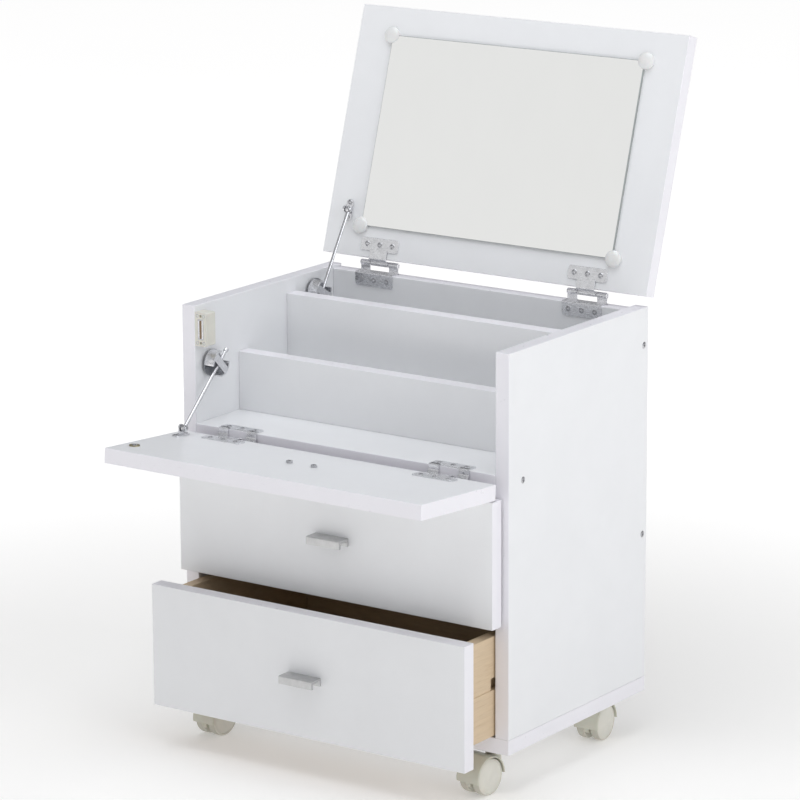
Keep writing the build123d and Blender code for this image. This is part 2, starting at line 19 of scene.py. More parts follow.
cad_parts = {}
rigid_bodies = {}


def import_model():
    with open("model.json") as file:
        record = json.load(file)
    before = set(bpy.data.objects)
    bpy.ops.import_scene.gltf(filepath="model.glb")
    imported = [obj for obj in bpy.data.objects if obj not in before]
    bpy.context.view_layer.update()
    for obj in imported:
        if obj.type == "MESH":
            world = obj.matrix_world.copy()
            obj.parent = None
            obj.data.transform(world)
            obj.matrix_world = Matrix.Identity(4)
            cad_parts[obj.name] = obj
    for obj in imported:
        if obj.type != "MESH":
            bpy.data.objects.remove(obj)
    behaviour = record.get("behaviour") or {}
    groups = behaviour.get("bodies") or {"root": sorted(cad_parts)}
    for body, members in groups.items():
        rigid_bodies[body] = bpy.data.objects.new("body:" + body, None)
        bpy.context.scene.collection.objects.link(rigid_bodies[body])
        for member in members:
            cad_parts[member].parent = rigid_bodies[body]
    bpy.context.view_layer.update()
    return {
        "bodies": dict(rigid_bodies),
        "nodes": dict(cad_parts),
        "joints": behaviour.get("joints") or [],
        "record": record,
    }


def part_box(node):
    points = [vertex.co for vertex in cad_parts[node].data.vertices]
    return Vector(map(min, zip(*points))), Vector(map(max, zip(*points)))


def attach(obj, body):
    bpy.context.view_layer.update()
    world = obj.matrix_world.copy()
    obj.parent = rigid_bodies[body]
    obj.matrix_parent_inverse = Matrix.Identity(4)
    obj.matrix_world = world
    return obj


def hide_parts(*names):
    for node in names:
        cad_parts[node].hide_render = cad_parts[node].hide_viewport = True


MM = 0.001
log = logging.getLogger("vanity")

Outline = Sequence[tuple[float, float]]
Colour = tuple[float, float, float]


class Slot(Enum):
    """Material slots of the record."""

    MELAMINE = "melamine"
    STEEL = "steel"
    DARK_STEEL = "dark_steel"
    MIRROR = "mirror"
    WHITE_PLASTIC = "white_plastic"
    IVORY_PLASTIC = "ivory_plastic"
    BRASS = "brass"
    PINE = "pine"


class Grain(Enum):
    """Which way a wooden board's grain runs, as the scale of its pattern on each axis."""

    ACROSS = (0.06, 1.0, 1.0)
    INWARD = (1.0, 0.06, 1.0)


# ---------------------------------------------------------------- finishes


class Graph:
    """A material's node tree round one Principled shader."""

    def __init__(self, name: str) -> None:
        """Start a material with its shader.

        Args:
            name: Name of the new material.
        """
        self.material = bpy.data.materials.new(name)
        self.material.use_nodes = True
        self.tree = self.material.node_tree
        self.shader = self.tree.nodes["Principled BSDF"]
        place = self.tree.nodes.new("ShaderNodeTexCoord")
        self.place = place.outputs["Object"]

    def constants(self, **values: float | tuple) -> None:
        """Set constants on the shader's own sockets.

        Args:
            **values: Socket names with underscores for spaces, and their values.
        """
        for name, value in values.items():
            self.shader.inputs[name.replace("_", " ")].default_value = value

    def stretched(self, factors: tuple[float, float, float]) -> bpy.types.NodeSocket:
        """Give the object coordinates scaled by a factor on each axis."""
        mapping = self.tree.nodes.new("ShaderNodeMapping")
        mapping.inputs["Scale"].default_value = factors
        self.tree.links.new(self.place, mapping.inputs["Vector"])
        return mapping.outputs["Vector"]

    def noise(
        self,
        size: float,
        detail: float = 3.0,
        roughness: float = 0.5,
        distortion: float = 0.0,
        stretch: tuple[float, float, float] = (1.0, 1.0, 1.0),
    ) -> bpy.types.NodeSocket:
        """Add a cloud pattern.

        Args:
            size: Width of one blot in metres.
            detail: Number of finer layers.
            roughness: Weight of the finer layers.
            distortion: How far the pattern is pushed about.
            stretch: Scale of the coordinates on each axis.

        Returns:
            The pattern's factor.
        """
        node = self.tree.nodes.new("ShaderNodeTexNoise")
        self.tree.links.new(self.stretched(stretch), node.inputs["Vector"])
        node.inputs["Scale"].default_value = 1.0 / size
        node.inputs["Detail"].default_value = detail
        node.inputs["Roughness"].default_value = roughness
        node.inputs["Distortion"].default_value = distortion
        return node.outputs["Fac"]

    def ramp(
        self, factor: bpy.types.NodeSocket, stops: Sequence[tuple[float, Colour]]
    ) -> bpy.types.NodeSocket:
        """Turn a factor into colours through the given stops."""
        node = self.tree.nodes.new("ShaderNodeValToRGB")
        elements = node.color_ramp.elements
        while len(elements) < len(stops):
            elements.new(0.5)
        for element, (position, colour) in zip(elements, stops):
            element.position = position
            element.color = (*colour, 1.0)
        self.tree.links.new(factor, node.inputs["Fac"])
        return node.outputs["Color"]

    def spread(
        self, factor: bpy.types.NodeSocket, low: float, high: float
    ) -> bpy.types.NodeSocket:
        """Map a pattern's middle range onto low to high."""
        node = self.tree.nodes.new("ShaderNodeMapRange")
        node.inputs["From Min"].default_value = 0.3
        node.inputs["From Max"].default_value = 0.7
        node.inputs["To Min"].default_value = low
        node.inputs["To Max"].default_value = high
        self.tree.links.new(factor, node.inputs["Value"])
        return node.outputs["Result"]

    def feed(self, socket: bpy.types.NodeSocket, name: str) -> None:
        """Link a pattern to one of the shader's inputs."""
        self.tree.links.new(socket, self.shader.inputs[name])

    def bump(self, heights: Sequence[tuple[bpy.types.NodeSocket, float]]) -> None:
        """Stack bumps on the shader's normal.

        Args:
            heights: Pattern factors, each with its height in metres.
        """
        below = None
        for height, depth in heights:
            node = self.tree.nodes.new("ShaderNodeBump")
            node.inputs["Strength"].default_value = 1.0
            node.inputs["Distance"].default_value = depth
            self.tree.links.new(height, node.inputs["Height"])
            if below is not None:
                self.tree.links.new(below, node.inputs["Normal"])
            below = node.outputs["Normal"]
        self.tree.links.new(below, self.shader.inputs["Normal"])


def shaded(colour: Colour, factor: float) -> Colour:
    """Scale a colour's three channels, held under one."""
    return tuple(min(1.0, channel * factor) for channel in colour)


@dataclass(frozen=True)
class Facing:
    """White melamine facing: a faint orange peel, pores, and cloudy gloss."""

    name: str
    colour: Colour
    gloss: tuple[float, float]
    peel: float = 1.1 * MM
    peel_depth: float = 0.012 * MM
    pore: float = 0.35 * MM
    pore_depth: float = 0.004 * MM

    def build(self) -> bpy.types.Material:
        """Make the material."""
        graph = Graph(self.name)
        graph.constants(IOR=1.5, Coat_Weight=0.25, Coat_Roughness=0.14)
        cloud = graph.noise(55 * MM, detail=4.0, roughness=0.6)
        stops = [(0.3, shaded(self.colour, 0.985)), (0.7, shaded(self.colour, 1.012))]
        graph.feed(graph.ramp(cloud, stops), "Base Color")
        sheen = graph.noise(9 * MM, detail=5.0, roughness=0.65)
        graph.feed(graph.spread(sheen, *self.gloss), "Roughness")
        peel = graph.noise(self.peel, detail=2.0)
        pores = graph.noise(self.pore, detail=2.0, stretch=(0.5, 1.0, 1.0))
        graph.bump([(peel, self.peel_depth), (pores, self.pore_depth)])
        return graph.material


@dataclass(frozen=True)
class Metal:
    """Plated or bare metal with rubbed streaks and blotchy polish."""

    name: str
    colour: Colour
    gloss: tuple[float, float]
    streak: tuple[float, float, float] = (0.12, 1.0, 1.0)
    streak_width: float = 0.5 * MM
    streak_depth: float = 0.004 * MM

    def build(self) -> bpy.types.Material:
        """Make the material."""
        graph = Graph(self.name)
        graph.constants(Metallic=1.0, IOR=1.5)
        streaks = graph.noise(self.streak_width, detail=3.0, stretch=self.streak)
        blots = graph.noise(6 * MM, detail=4.0, roughness=0.6)
        stops = [(0.3, shaded(self.colour, 0.9)), (0.7, shaded(self.colour, 1.06))]
        graph.feed(graph.ramp(blots, stops), "Base Color")
        graph.feed(graph.spread(streaks, *self.gloss), "Roughness")
        graph.bump([(streaks, self.streak_depth)])
        return graph.material


@dataclass(frozen=True)
class Plastic:
    """Moulded plastic with a fine texture and slow flow marks."""

    name: str
    colour: Colour
    gloss: tuple[float, float]
    coat: float = 0.3
    grain_depth: float = 0.006 * MM

    def build(self) -> bpy.types.Material:
        """Make the material."""
        graph = Graph(self.name)
        graph.constants(
            IOR=1.49,
            Coat_Weight=self.coat,
            Coat_Roughness=0.12,
            Subsurface_Weight=0.05,
            Subsurface_Scale=2 * MM,
        )
        flow = graph.noise(14 * MM, detail=3.0, distortion=0.6)
        stops = [(0.3, shaded(self.colour, 0.96)), (0.7, shaded(self.colour, 1.02))]
        graph.feed(graph.ramp(flow, stops), "Base Color")
        grain = graph.noise(0.5 * MM, detail=2.0)
        graph.feed(graph.spread(grain, *self.gloss), "Roughness")
        graph.bump([(grain, self.grain_depth)])
        return graph.material


@dataclass(frozen=True)
class Silvering:
    """Mirror glass: silver behind a clear face, with a trace of wiped film."""

    name: str
    colour: Colour
    gloss: tuple[float, float]

    def build(self) -> bpy.types.Material:
        """Make the material."""
        graph = Graph(self.name)
        graph.constants(Metallic=1.0, IOR=1.5)
        film = graph.noise(38 * MM, detail=5.0, roughness=0.6, stretch=(1.0, 1.0, 0.5))
        stops = [(0.35, shaded(self.colour, 0.99)), (0.65, self.colour)]
        graph.feed(graph.ramp(film, stops), "Base Color")
        graph.feed(graph.spread(film, *self.gloss), "Roughness")
        return graph.material


@dataclass(frozen=True)
class Timber:
    """Lacquered pale pine: growth rings, fine fibres and a few darker streaks."""

    name: str
    grain: Grain
    early: Colour = (0.73, 0.57, 0.385)
    late: Colour = (0.63, 0.46, 0.28)

    def build(self) -> bpy.types.Material:
        """Make the material."""
        graph = Graph(self.name)
        graph.constants(IOR=1.5, Coat_Weight=0.12, Coat_Roughness=0.3)
        along = self.grain.value
        rings = graph.noise(11 * MM, detail=2.0, distortion=0.5, stretch=along)
        fibres = graph.noise(0.9 * MM, detail=3.0, stretch=along)
        wave = graph.tree.nodes.new("ShaderNodeMath")
        wave.operation = "SINE"
        scale = graph.tree.nodes.new("ShaderNodeMath")
        scale.operation = "MULTIPLY"
        scale.inputs[1].default_value = 30.0
        graph.tree.links.new(rings, scale.inputs[0])
        graph.tree.links.new(scale.outputs[0], wave.inputs[0])
        mix = graph.tree.nodes.new("ShaderNodeMath")
        mix.operation = "MULTIPLY_ADD"
        mix.inputs[1].default_value = 0.10
        graph.tree.links.new(wave.outputs[0], mix.inputs[0])
        graph.tree.links.new(fibres, mix.inputs[2])
        stops = [(0.2, self.early), (0.62, shaded(self.early, 0.94)), (0.86, self.late)]
        graph.feed(graph.ramp(mix.outputs[0], stops), "Base Color")
        graph.feed(graph.spread(fibres, 0.5, 0.62), "Roughness")
        graph.bump([(fibres, 0.02 * MM), (rings, 0.03 * MM)])
        return graph.material


class Palette:
    """Every finish of the table, made once."""

    def __init__(self) -> None:
        """Build the finishes."""
        self.facing = Facing("white_facing", (0.88, 0.885, 0.897), (0.33, 0.42)).build()
        self.edging = Facing(
            "edge_band",
            (0.90, 0.885, 0.925),
            (0.27, 0.33),
            peel=1.6 * MM,
            peel_depth=0.004 * MM,
        ).build()
        self.plate = Metal("zinc_plate", (0.80, 0.80, 0.82), (0.20, 0.32)).build()
        self.rod = Metal("bright_rod", (0.70, 0.70, 0.72), (0.14, 0.24)).build()
        self.screw = Metal("screw_steel", (0.52, 0.52, 0.54), (0.2, 0.34)).build()
        self.satin = Metal("satin_pull", (0.60, 0.60, 0.60), (0.34, 0.44)).build()
        self.zinc = Metal("dark_cup", (0.30, 0.31, 0.33), (0.24, 0.36)).build()
        self.silver = Silvering("mirror_face", (0.93, 0.93, 0.915), (0.012, 0.03)).build()
        self.ground_glass = Plastic(
            "ground_glass", (0.34, 0.37, 0.36), (0.16, 0.3), coat=0.5
        ).build()
        self.clip = Plastic("clip_white", (0.83, 0.83, 0.82), (0.22, 0.3), coat=0.5).build()
        self.ivory = Plastic("ivory_wheel", (0.76, 0.74, 0.66), (0.34, 0.46)).build()
        self.hood = Plastic("ivory_hood", (0.66, 0.65, 0.55), (0.38, 0.5)).build()
        self.tread = Plastic("wheel_tread", (0.60, 0.58, 0.50), (0.5, 0.62), coat=0.05).build()
        self.brass = Metal("brass_striker", (0.42, 0.37, 0.24), (0.3, 0.42)).build()
        self.ferrite = Plastic(
            "magnet_ferrite", (0.26, 0.17, 0.10), (0.5, 0.65), coat=0.0
        ).build()
        self.pine_inward = Timber("pine_inward", Grain.INWARD).build()
        self.pine_across = Timber("pine_across", Grain.ACROSS).build()


# ---------------------------------------------------------------- mesh tools

X_AXIS = Vector((1.0, 0.0, 0.0))
Y_AXIS = Vector((0.0, 1.0, 0.0))
Z_AXIS = Vector((0.0, 0.0, 1.0))
UNMOVED = Matrix.Identity(4)
# Z laid on X, as for a pin drawn upright
ON_X = Matrix.Rotation(pi / 2, 4, "Y")
# Z laid on X, X on Y and Y on Z, so that an angle about Z starts at Y and goes to Z
ROLLED_ON_X = Matrix(((0, 0, 1, 0), (1, 0, 0, 0), (0, 1, 0, 0), (0, 0, 0, 1)))
# Z laid against Y, so that a hanging part stands out of a board
OFF_Y = Matrix.Rotation(pi / 2, 4, "X")
WELD = 0.001 * MM
CORNER_TURN = radians(50)
SHARP_TURN = radians(35)


def frame_of(origin: Vector, x_axis: Vector, z_axis: Vector) -> Matrix:
    """Give the placement with the given origin, X and Z directions."""
    z = z_axis.normalized()
    x = (x_axis - z * x_axis.dot(z)).normalized()
    return Matrix.Translation(origin) @ Matrix((x, z.cross(x), z)).transposed().to_4x4()


def solid_angle(edge: bmesh.types.BMEdge) -> float:
    """Give the angle between an edge's two faces, or zero on a border."""
    return edge.calc_face_angle(0.0) if edge.is_manifold else 0.0


def prism(outline: Outline, span: tuple[float, float]) -> bmesh.types.BMesh:
    """Extrude an outline along X.

    Args:
        outline: Corners in the YZ plane.
        span: Lowest and highest X.

    Returns:
        A closed solid.
    """
    bm = bmesh.new()
    corners = [bm.verts.new((span[0], y, z)) for y, z in outline]
    grown = bmesh.ops.extrude_face_region(bm, geom=[bm.faces.new(corners)])
    moved = [item for item in grown["geom"] if isinstance(item, bmesh.types.BMVert)]
    bmesh.ops.translate(bm, verts=moved, vec=(span[1] - span[0], 0.0, 0.0))
    bmesh.ops.recalc_face_normals(bm, faces=bm.faces)
    return bm


def block(low: Sequence[float], high: Sequence[float]) -> bmesh.types.BMesh:
    """Give a block between two corners."""
    outline = [(low[1], low[2]), (high[1], low[2]), (high[1], high[2]), (low[1], high[2])]
    return prism(outline, (low[0], high[0]))


def turned(outline: Outline, steps: int = 48, sweep: float = tau) -> bmesh.types.BMesh:
    """Turn an outline of (radius, height) points about Z.

    Args:
        outline: The open half section of a full turn, or the closed section of a part turn.
        steps: Number of facets round the turn.
        sweep: Angle of the turn; a part turn starts at X.

    Returns:
        A closed solid.
    """
    bm = bmesh.new()
    verts = [bm.verts.new((radius, 0.0, height)) for radius, height in outline]
    edges = [bm.edges.new(pair) for pair in zip(verts, verts[1:])]
    whole = sweep == tau
    section = verts + edges if whole else [bm.faces.new(verts)]
    bmesh.ops.spin(
        bm,
        geom=section,
        cent=(0.0, 0.0, 0.0),
        axis=(0.0, 0.0, 1.0),
        angle=sweep,
        steps=steps,
        use_merge=whole,
    )
    bmesh.ops.remove_doubles(bm, verts=bm.verts, dist=WELD)
    bmesh.ops.recalc_face_normals(bm, faces=bm.faces)
    return bm


def bevelled(
    bm: bmesh.types.BMesh, edges: Sequence[bmesh.types.BMEdge], radius: float, segments: int
) -> bmesh.types.BMesh:
    """Round the given edges.

    Args:
        bm: The shape.
        edges: The edges to round.
        radius: Radius of the rounding.
        segments: Number of facets across it.

    Returns:
        The same shape.
    """
    bmesh.ops.bevel(
        bm,
        geom=edges,
        offset=radius,
        segments=segments,
        profile=0.5,
        affect="EDGES",
        material=-1,
        clamp_overlap=True,
    )
    return bm


def rounded(bm: bmesh.types.BMesh, radius: float, segments: int = 2) -> bmesh.types.BMesh:
    """Round every corner edge of a solid."""
    edges = [edge for edge in bm.edges if solid_angle(edge) > CORNER_TURN]
    return bevelled(bm, edges, radius, segments)


def rounded_along(
    bm: bmesh.types.BMesh,
    axis: Vector,
    radius: float,
    segments: int = 4,
    longest: float = 1.0,
) -> bmesh.types.BMesh:
    """Round the corner edges that run along an axis and are no longer than a limit."""
    edges = [
        edge
        for edge in bm.edges
        if solid_angle(edge) > CORNER_TURN
        and edge.calc_length() < longest
        and abs((edge.verts[0].co - edge.verts[1].co).normalized().dot(axis)) > 0.99
    ]
    return bevelled(bm, edges, radius, segments)


def bent_strip(
    path: Outline, span: tuple[float, float], thickness: float, bend: float
) -> bmesh.types.BMesh:
    """Bend a strip of sheet along a path in the YZ plane.

    Args:
        path: Corners of the strip's right-hand face, in order.
        span: Lowest and highest X.
        thickness: Thickness of the sheet, laid to the path's left.
        bend: Radius of the bends.

    Returns:
        A closed solid.
    """
    bm = bmesh.new()
    verts = [bm.verts.new((span[0], y, z)) for y, z in path]
    edges = [bm.edges.new(pair) for pair in zip(verts, verts[1:])]
    grown = bmesh.ops.extrude_edge_only(bm, edges=edges)["geom"]
    moved = [item for item in grown if isinstance(item, bmesh.types.BMVert)]
    bmesh.ops.translate(bm, verts=moved, vec=(span[1] - span[0], 0.0, 0.0))
    bevelled(bm, [edge for edge in bm.edges if len(edge.link_faces) == 2], bend, 5)
    first, second = (Vector((0.0, *point)) for point in path[:2])
    left = X_AXIS.cross(second - first)
    bmesh.ops.recalc_face_normals(bm, faces=bm.faces)
    nearest = min(bm.faces, key=lambda face: (face.calc_center_median() - first).length)
    if nearest.normal.dot(left) > 0:
        bmesh.ops.reverse_faces(bm, faces=bm.faces)
    bmesh.ops.solidify(bm, geom=bm.faces, thickness=thickness)
    bmesh.ops.recalc_face_normals(bm, faces=bm.faces)
    return bm


def joined(
    parts: Iterable[tuple[bmesh.types.BMesh, Matrix, int]],
) -> bmesh.types.BMesh:
    """Put several shapes into one mesh.

    Args:
        parts: Each shape with its placement and the index of its finish. A negative index
            keeps the shape's own.

    Returns:
        The new mesh; the shapes are freed.
    """
    whole = bmesh.new()
    for shape, place, finish in parts:
        if finish >= 0:
            for face in shape.faces:
                face.material_index = finish
        holder = bpy.data.meshes.new("holder")
        shape.to_mesh(holder)
        holder.transform(place)
        whole.from_mesh(holder)
        bpy.data.meshes.remove(holder)
        shape.free()
    return whole


def copies(
    make: Callable[[], bmesh.types.BMesh], places: Iterable[Matrix]
) -> bmesh.types.BMesh:
    """Repeat a shape at each placement."""
    return joined((make(), place, -1) for place in places)


class Shop:
    """Turns shapes into pieces that ride on the frame."""

    shortest_arris = 11 * MM
    screw_tip = 0.2 * MM

    def __init__(self, frame: dict, palette: Palette) -> None:
        """Keep the loaded frame and the finishes.

        Args:
            palette: The finishes.
        """
        self.nodes = frame["nodes"]
        self.joints = {joint["name"]: joint for joint in frame["joints"]}
        self.palette = palette

    def pivot(self, joint: str) -> Vector:
        """Give the place of a joint at rest."""
        return Vector(self.joints[joint]["pos_m"])

    def fit(
        self,
        name: str,
        bm: bmesh.types.BMesh,
        finishes: Sequence[bpy.types.Material],
        body: str,
        slot: Slot,
        replaced: Sequence[str] = (),
    ) -> bpy.types.Object:
        """Make a piece from a shape and hang it on the frame.

        Args:
            name: Name of the piece.
            bm: Its shape, in place; it is freed.
            finishes: Its materials, in the order of the shape's indices.
            body: The body that it rides on.
            slot: The record's slot; not used.
            replaced: CAD nodes that it stands for.

        Returns:
            The new object.
        """
        for face in bm.faces:
            face.smooth = True
        for edge in bm.edges:
            edge.smooth = solid_angle(edge) < SHARP_TURN
        mesh = bpy.data.meshes.new(name)
        bm.to_mesh(mesh)
        bm.free()
        for finish in finishes:
            mesh.materials.append(finish)
        piece = bpy.data.objects.new(name, mesh)
        bpy.context.scene.collection.objects.link(piece)
        weighted = piece.modifiers.new("even_shading", "WEIGHTED_NORMAL")
        weighted.keep_sharp = True
        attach(piece, body)
        if replaced:
            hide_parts(*replaced)
        log.info("%s: %d faces on %s", name, len(mesh.polygons), body)
        return piece

    def copy_of(self, node: str) -> bmesh.types.BMesh:
        """Give a merged copy of a CAD node's mesh."""
        bm = bmesh.new()
        bm.from_mesh(self.nodes[node].data)
        bmesh.ops.remove_doubles(bm, verts=bm.verts, dist=WELD)
        return bm

    def flat_copy_of(self, node: str) -> bmesh.types.BMesh:
        """Give a copy of a CAD node's mesh with its flat facets joined."""
        bm = self.copy_of(node)
        bmesh.ops.dissolve_limit(bm, angle_limit=radians(1), verts=bm.verts, edges=bm.edges)
        return bm

    def board(
        self,
        node: str,
        body: str,
        finishes: Sequence[bpy.types.Material],
        slot: Slot,
        radius: float = 0.7 * MM,
    ) -> bpy.types.Object:
        """Soften a board's long edges and face its narrow sides.

        Args:
            node: The board's CAD node.
            body: The body that it rides on.
            finishes: The face's and the narrow sides' materials.
            slot: The record's slot.
            radius: Radius of the edges.

        Returns:
            The new board.
        """
        bm = self.flat_copy_of(node)
        corners = [
            edge
            for edge in bm.edges
            if edge.is_manifold
            and edge.is_convex
            and edge.calc_length() > self.shortest_arris
            and abs(solid_angle(edge) - pi / 2) < radians(3)
        ]
        bevelled(bm, corners, radius, 3)
        bm.normal_update()
        widest = max(bm.faces, key=lambda face: face.calc_area()).normal.copy()
        for face in bm.faces:
            face.material_index = 0 if abs(face.normal.dot(widest)) > 0.95 else 1
        return self.fit(f"{node}_board", bm, finishes, body, slot, [node])

    def spots(self, node: str) -> list[Matrix]:
        """Find where each loose solid of a node of screws or bolts stands.

        Args:
            node: The CAD node.

        Returns:
            A placement for each: its origin on the head's outer face, Z out of the head.
        """
        bm = self.copy_of(node)
        bm.verts.ensure_lookup_table()
        seen: set[int] = set()
        places = []
        for start in bm.verts:
            if start.index in seen:
                continue
            island, queue = [], [start]
            seen.add(start.index)
            while queue:
                vert = queue.pop()
                island.append(vert.co.copy())
                for edge in vert.link_edges:
                    other = edge.other_vert(vert)
                    if other.index not in seen:
                        seen.add(other.index)
                        queue.append(other)
            places.append(self.screw_place(np.array(island)))
        bm.free()
        return places

    def screw_place(self, points: np.ndarray) -> Matrix:
        """Give the placement of one screw from its points, by its longest direction."""
        middle = points.mean(axis=0)
        direction = np.linalg.svd(points - middle, full_matrices=False)[2][0]
        along = (points - middle) @ direction
        ends = []
        for sign in (1.0, -1.0):
            reach = along * sign
            end = points[reach > reach.max() - self.screw_tip]
            centre = (end.max(axis=0) + end.min(axis=0)) / 2
            ends.append((np.linalg.norm(end - centre, axis=1).max(), centre))
        (_, tip), (_, head) = sorted(ends, key=lambda item: item[0])
        up = Vector(head - tip).normalized()
        side = X_AXIS if abs(up.x) < 0.9 else Y_AXIS
        return frame_of(Vector(head), side, up)


# ---------------------------------------------------------------- screws


@dataclass
class ScrewKit:
    """Wood screws, joint screws and pull bolts, each with a cross recess."""

    shop: Shop
    head_r: float = 3.0 * MM
    shank_r: float = 1.4 * MM
    length: float = 11.5 * MM
    dome: float = 0.6 * MM
    recess: float = 2.0 * MM
    recess_depth: float = 1.2 * MM
    joint_recess: float = 1.9 * MM
    joint_head_r: float = 3.4 * MM
    joint_shank_r: float = 1.9 * MM
    joint_length: float = 39.0 * MM
    joint_head: float = 1.6 * MM
    bolt_head: float = 2.0 * MM
    bolt_length: float = 20.0 * MM

    def headed(self, head_r: float, recess: float, below: Outline) -> bmesh.types.BMesh:
        """Shape a screw with a domed top and a cross recess.

        Args:
            head_r: Radius of the head.
            recess: Half the length of the recess's arms.
            below: The rest of the section under the rim, ending on the axis.

        Returns:
            The screw, head up at the origin.
        """
        bm = bmesh.new()
        arm = recess * 0.3
        quarter = [(recess, -arm), (recess, arm), (arm, arm)]
        cross = []
        for turn in range(4):
            matrix = Matrix.Rotation(turn * tau / 4, 2)
            cross += [matrix @ Vector(point) for point in quarter]
        verts = [bm.verts.new((x, y, self.dome)) for x, y in cross]
        edges = [bm.edges.new((verts[i - 1], verts[i])) for i in range(len(verts))]
        bmesh.ops.subdivide_edges(bm, edges=edges, cuts=1)
        border = list(bm.edges)
        grown = bmesh.ops.extrude_edge_only(bm, edges=border)["geom"]
        sunk = {item for item in grown if isinstance(item, bmesh.types.BMVert)}
        for vert in sunk:
            vert.co = Vector((vert.co.x * 0.5, vert.co.y * 0.5, -self.recess_depth))
        floor = [edge for edge in bm.edges if sunk.issuperset(edge.verts)]
        bmesh.ops.contextual_create(bm, geom=floor)
        last = border
        section = [(head_r * 0.86, self.dome * 0.6), (head_r, 0.0), *below]
        count = 2 * len(cross)
        half_facet = Matrix.Rotation(tau / count / 2, 4, "Z")
        for radius, height in section[:-1]:
            ring = bmesh.ops.create_circle(
                bm,
                segments=count,
                radius=radius,
                matrix=Matrix.Translation((0, 0, height)) @ half_facet,
            )["verts"]
            loop = list({edge for vert in ring for edge in vert.link_edges})
            bmesh.ops.bridge_loops(bm, edges=last + loop)
            last = loop
        bmesh.ops.contextual_create(bm, geom=last)
        bmesh.ops.recalc_face_normals(bm, faces=bm.faces)
        return bm

    def wood_screw(self) -> bmesh.types.BMesh:
        """Shape a countersunk wood screw."""
        slope = self.head_r - self.shank_r
        below = [
            (self.shank_r, -slope),
            (self.shank_r, -self.length * 0.8),
            (self.shank_r * 0.3, -self.length),
            (0.0, -self.length),
        ]
        return self.headed(self.head_r, self.recess, below)

    def joint_screw(self) -> bmesh.types.BMesh:
        """Shape a flat-headed joint screw."""
        below = [
            (self.joint_head_r, -self.joint_head),
            (self.joint_shank_r, -self.joint_head - 0.3 * MM),
            (self.joint_shank_r, -self.joint_length * 0.95),
            (self.joint_shank_r * 0.3, -self.joint_length),
            (0.0, -self.joint_length),
        ]
        return self.headed(self.joint_head_r, self.joint_recess, below)

    def pull_bolt(self) -> bmesh.types.BMesh:
        """Shape a pan-headed bolt as long as the board and the pull's flange."""
        shank = self.joint_shank_r
        below = [
            (self.joint_head_r, -self.bolt_head * 0.9),
            (shank, -self.bolt_head),
            (shank, -self.bolt_length),
            (0.0, -self.bolt_length),
        ]
        return self.headed(self.joint_head_r, self.joint_recess, below)

    def build(self) -> None:
        """Set every family of screws."""
        steel = [self.shop.palette.screw]
        families = [
            ("wood_screws", self.wood_screw, "carcass"),
            ("assembly_screws", self.joint_screw, "carcass"),
            ("lid_screws", self.wood_screw, "lid"),
            ("flap_screws", self.wood_screw, "flap"),
            ("flap_pull_screws", self.pull_bolt, "flap"),
            ("upper_drawer_pull_screws", self.pull_bolt, "upper_drawer"),
            ("lower_drawer_pull_screws", self.pull_bolt, "lower_drawer"),
        ]
        for node, make, body in families:
            bm = copies(make, self.shop.spots(node))
            self.shop.fit(f"{node}_cross_head", bm, steel, body, Slot.STEEL, [node])


# ---------------------------------------------------------------- boards and drawers


@dataclass
class Cabinet:
    """The white boards of the carcass, lid and flap."""

    shop: Shop

    def build(self) -> None:
        """Face every board."""
        palette = self.shop.palette
        white = [palette.facing, palette.edging]
        boards = {
            "carcass": (
                "side_panel_left",
                "side_panel_right",
                "bottom_board",
                "back_panel",
                "middle_shelf",
                "front_divider",
                "rear_divider",
            ),
            "lid": ("lid",),
            "flap": ("flap",),
        }
        for body, nodes in boards.items():
            for node in nodes:
                self.shop.board(node, body, white, Slot.MELAMINE)


@dataclass
class Drawer:
    """One drawer: a white front on a pine box."""

    shop: Shop
    body: str
    pine_edge: float = 0.5 * MM

    def build(self) -> None:
        """Make the drawer's boards."""
        palette = self.shop.palette
        white = [palette.facing, palette.edging]
        self.shop.board(f"{self.body}_front", self.body, white, Slot.MELAMINE)
        grains = {
            "side_left": palette.pine_inward,
            "side_right": palette.pine_inward,
            "bottom": palette.pine_inward,
            "back": palette.pine_across,
        }
        for part, pine in grains.items():
            node = f"{self.body}_{part}"
            self.shop.board(node, self.body, [pine] * 2, Slot.PINE, self.pine_edge)


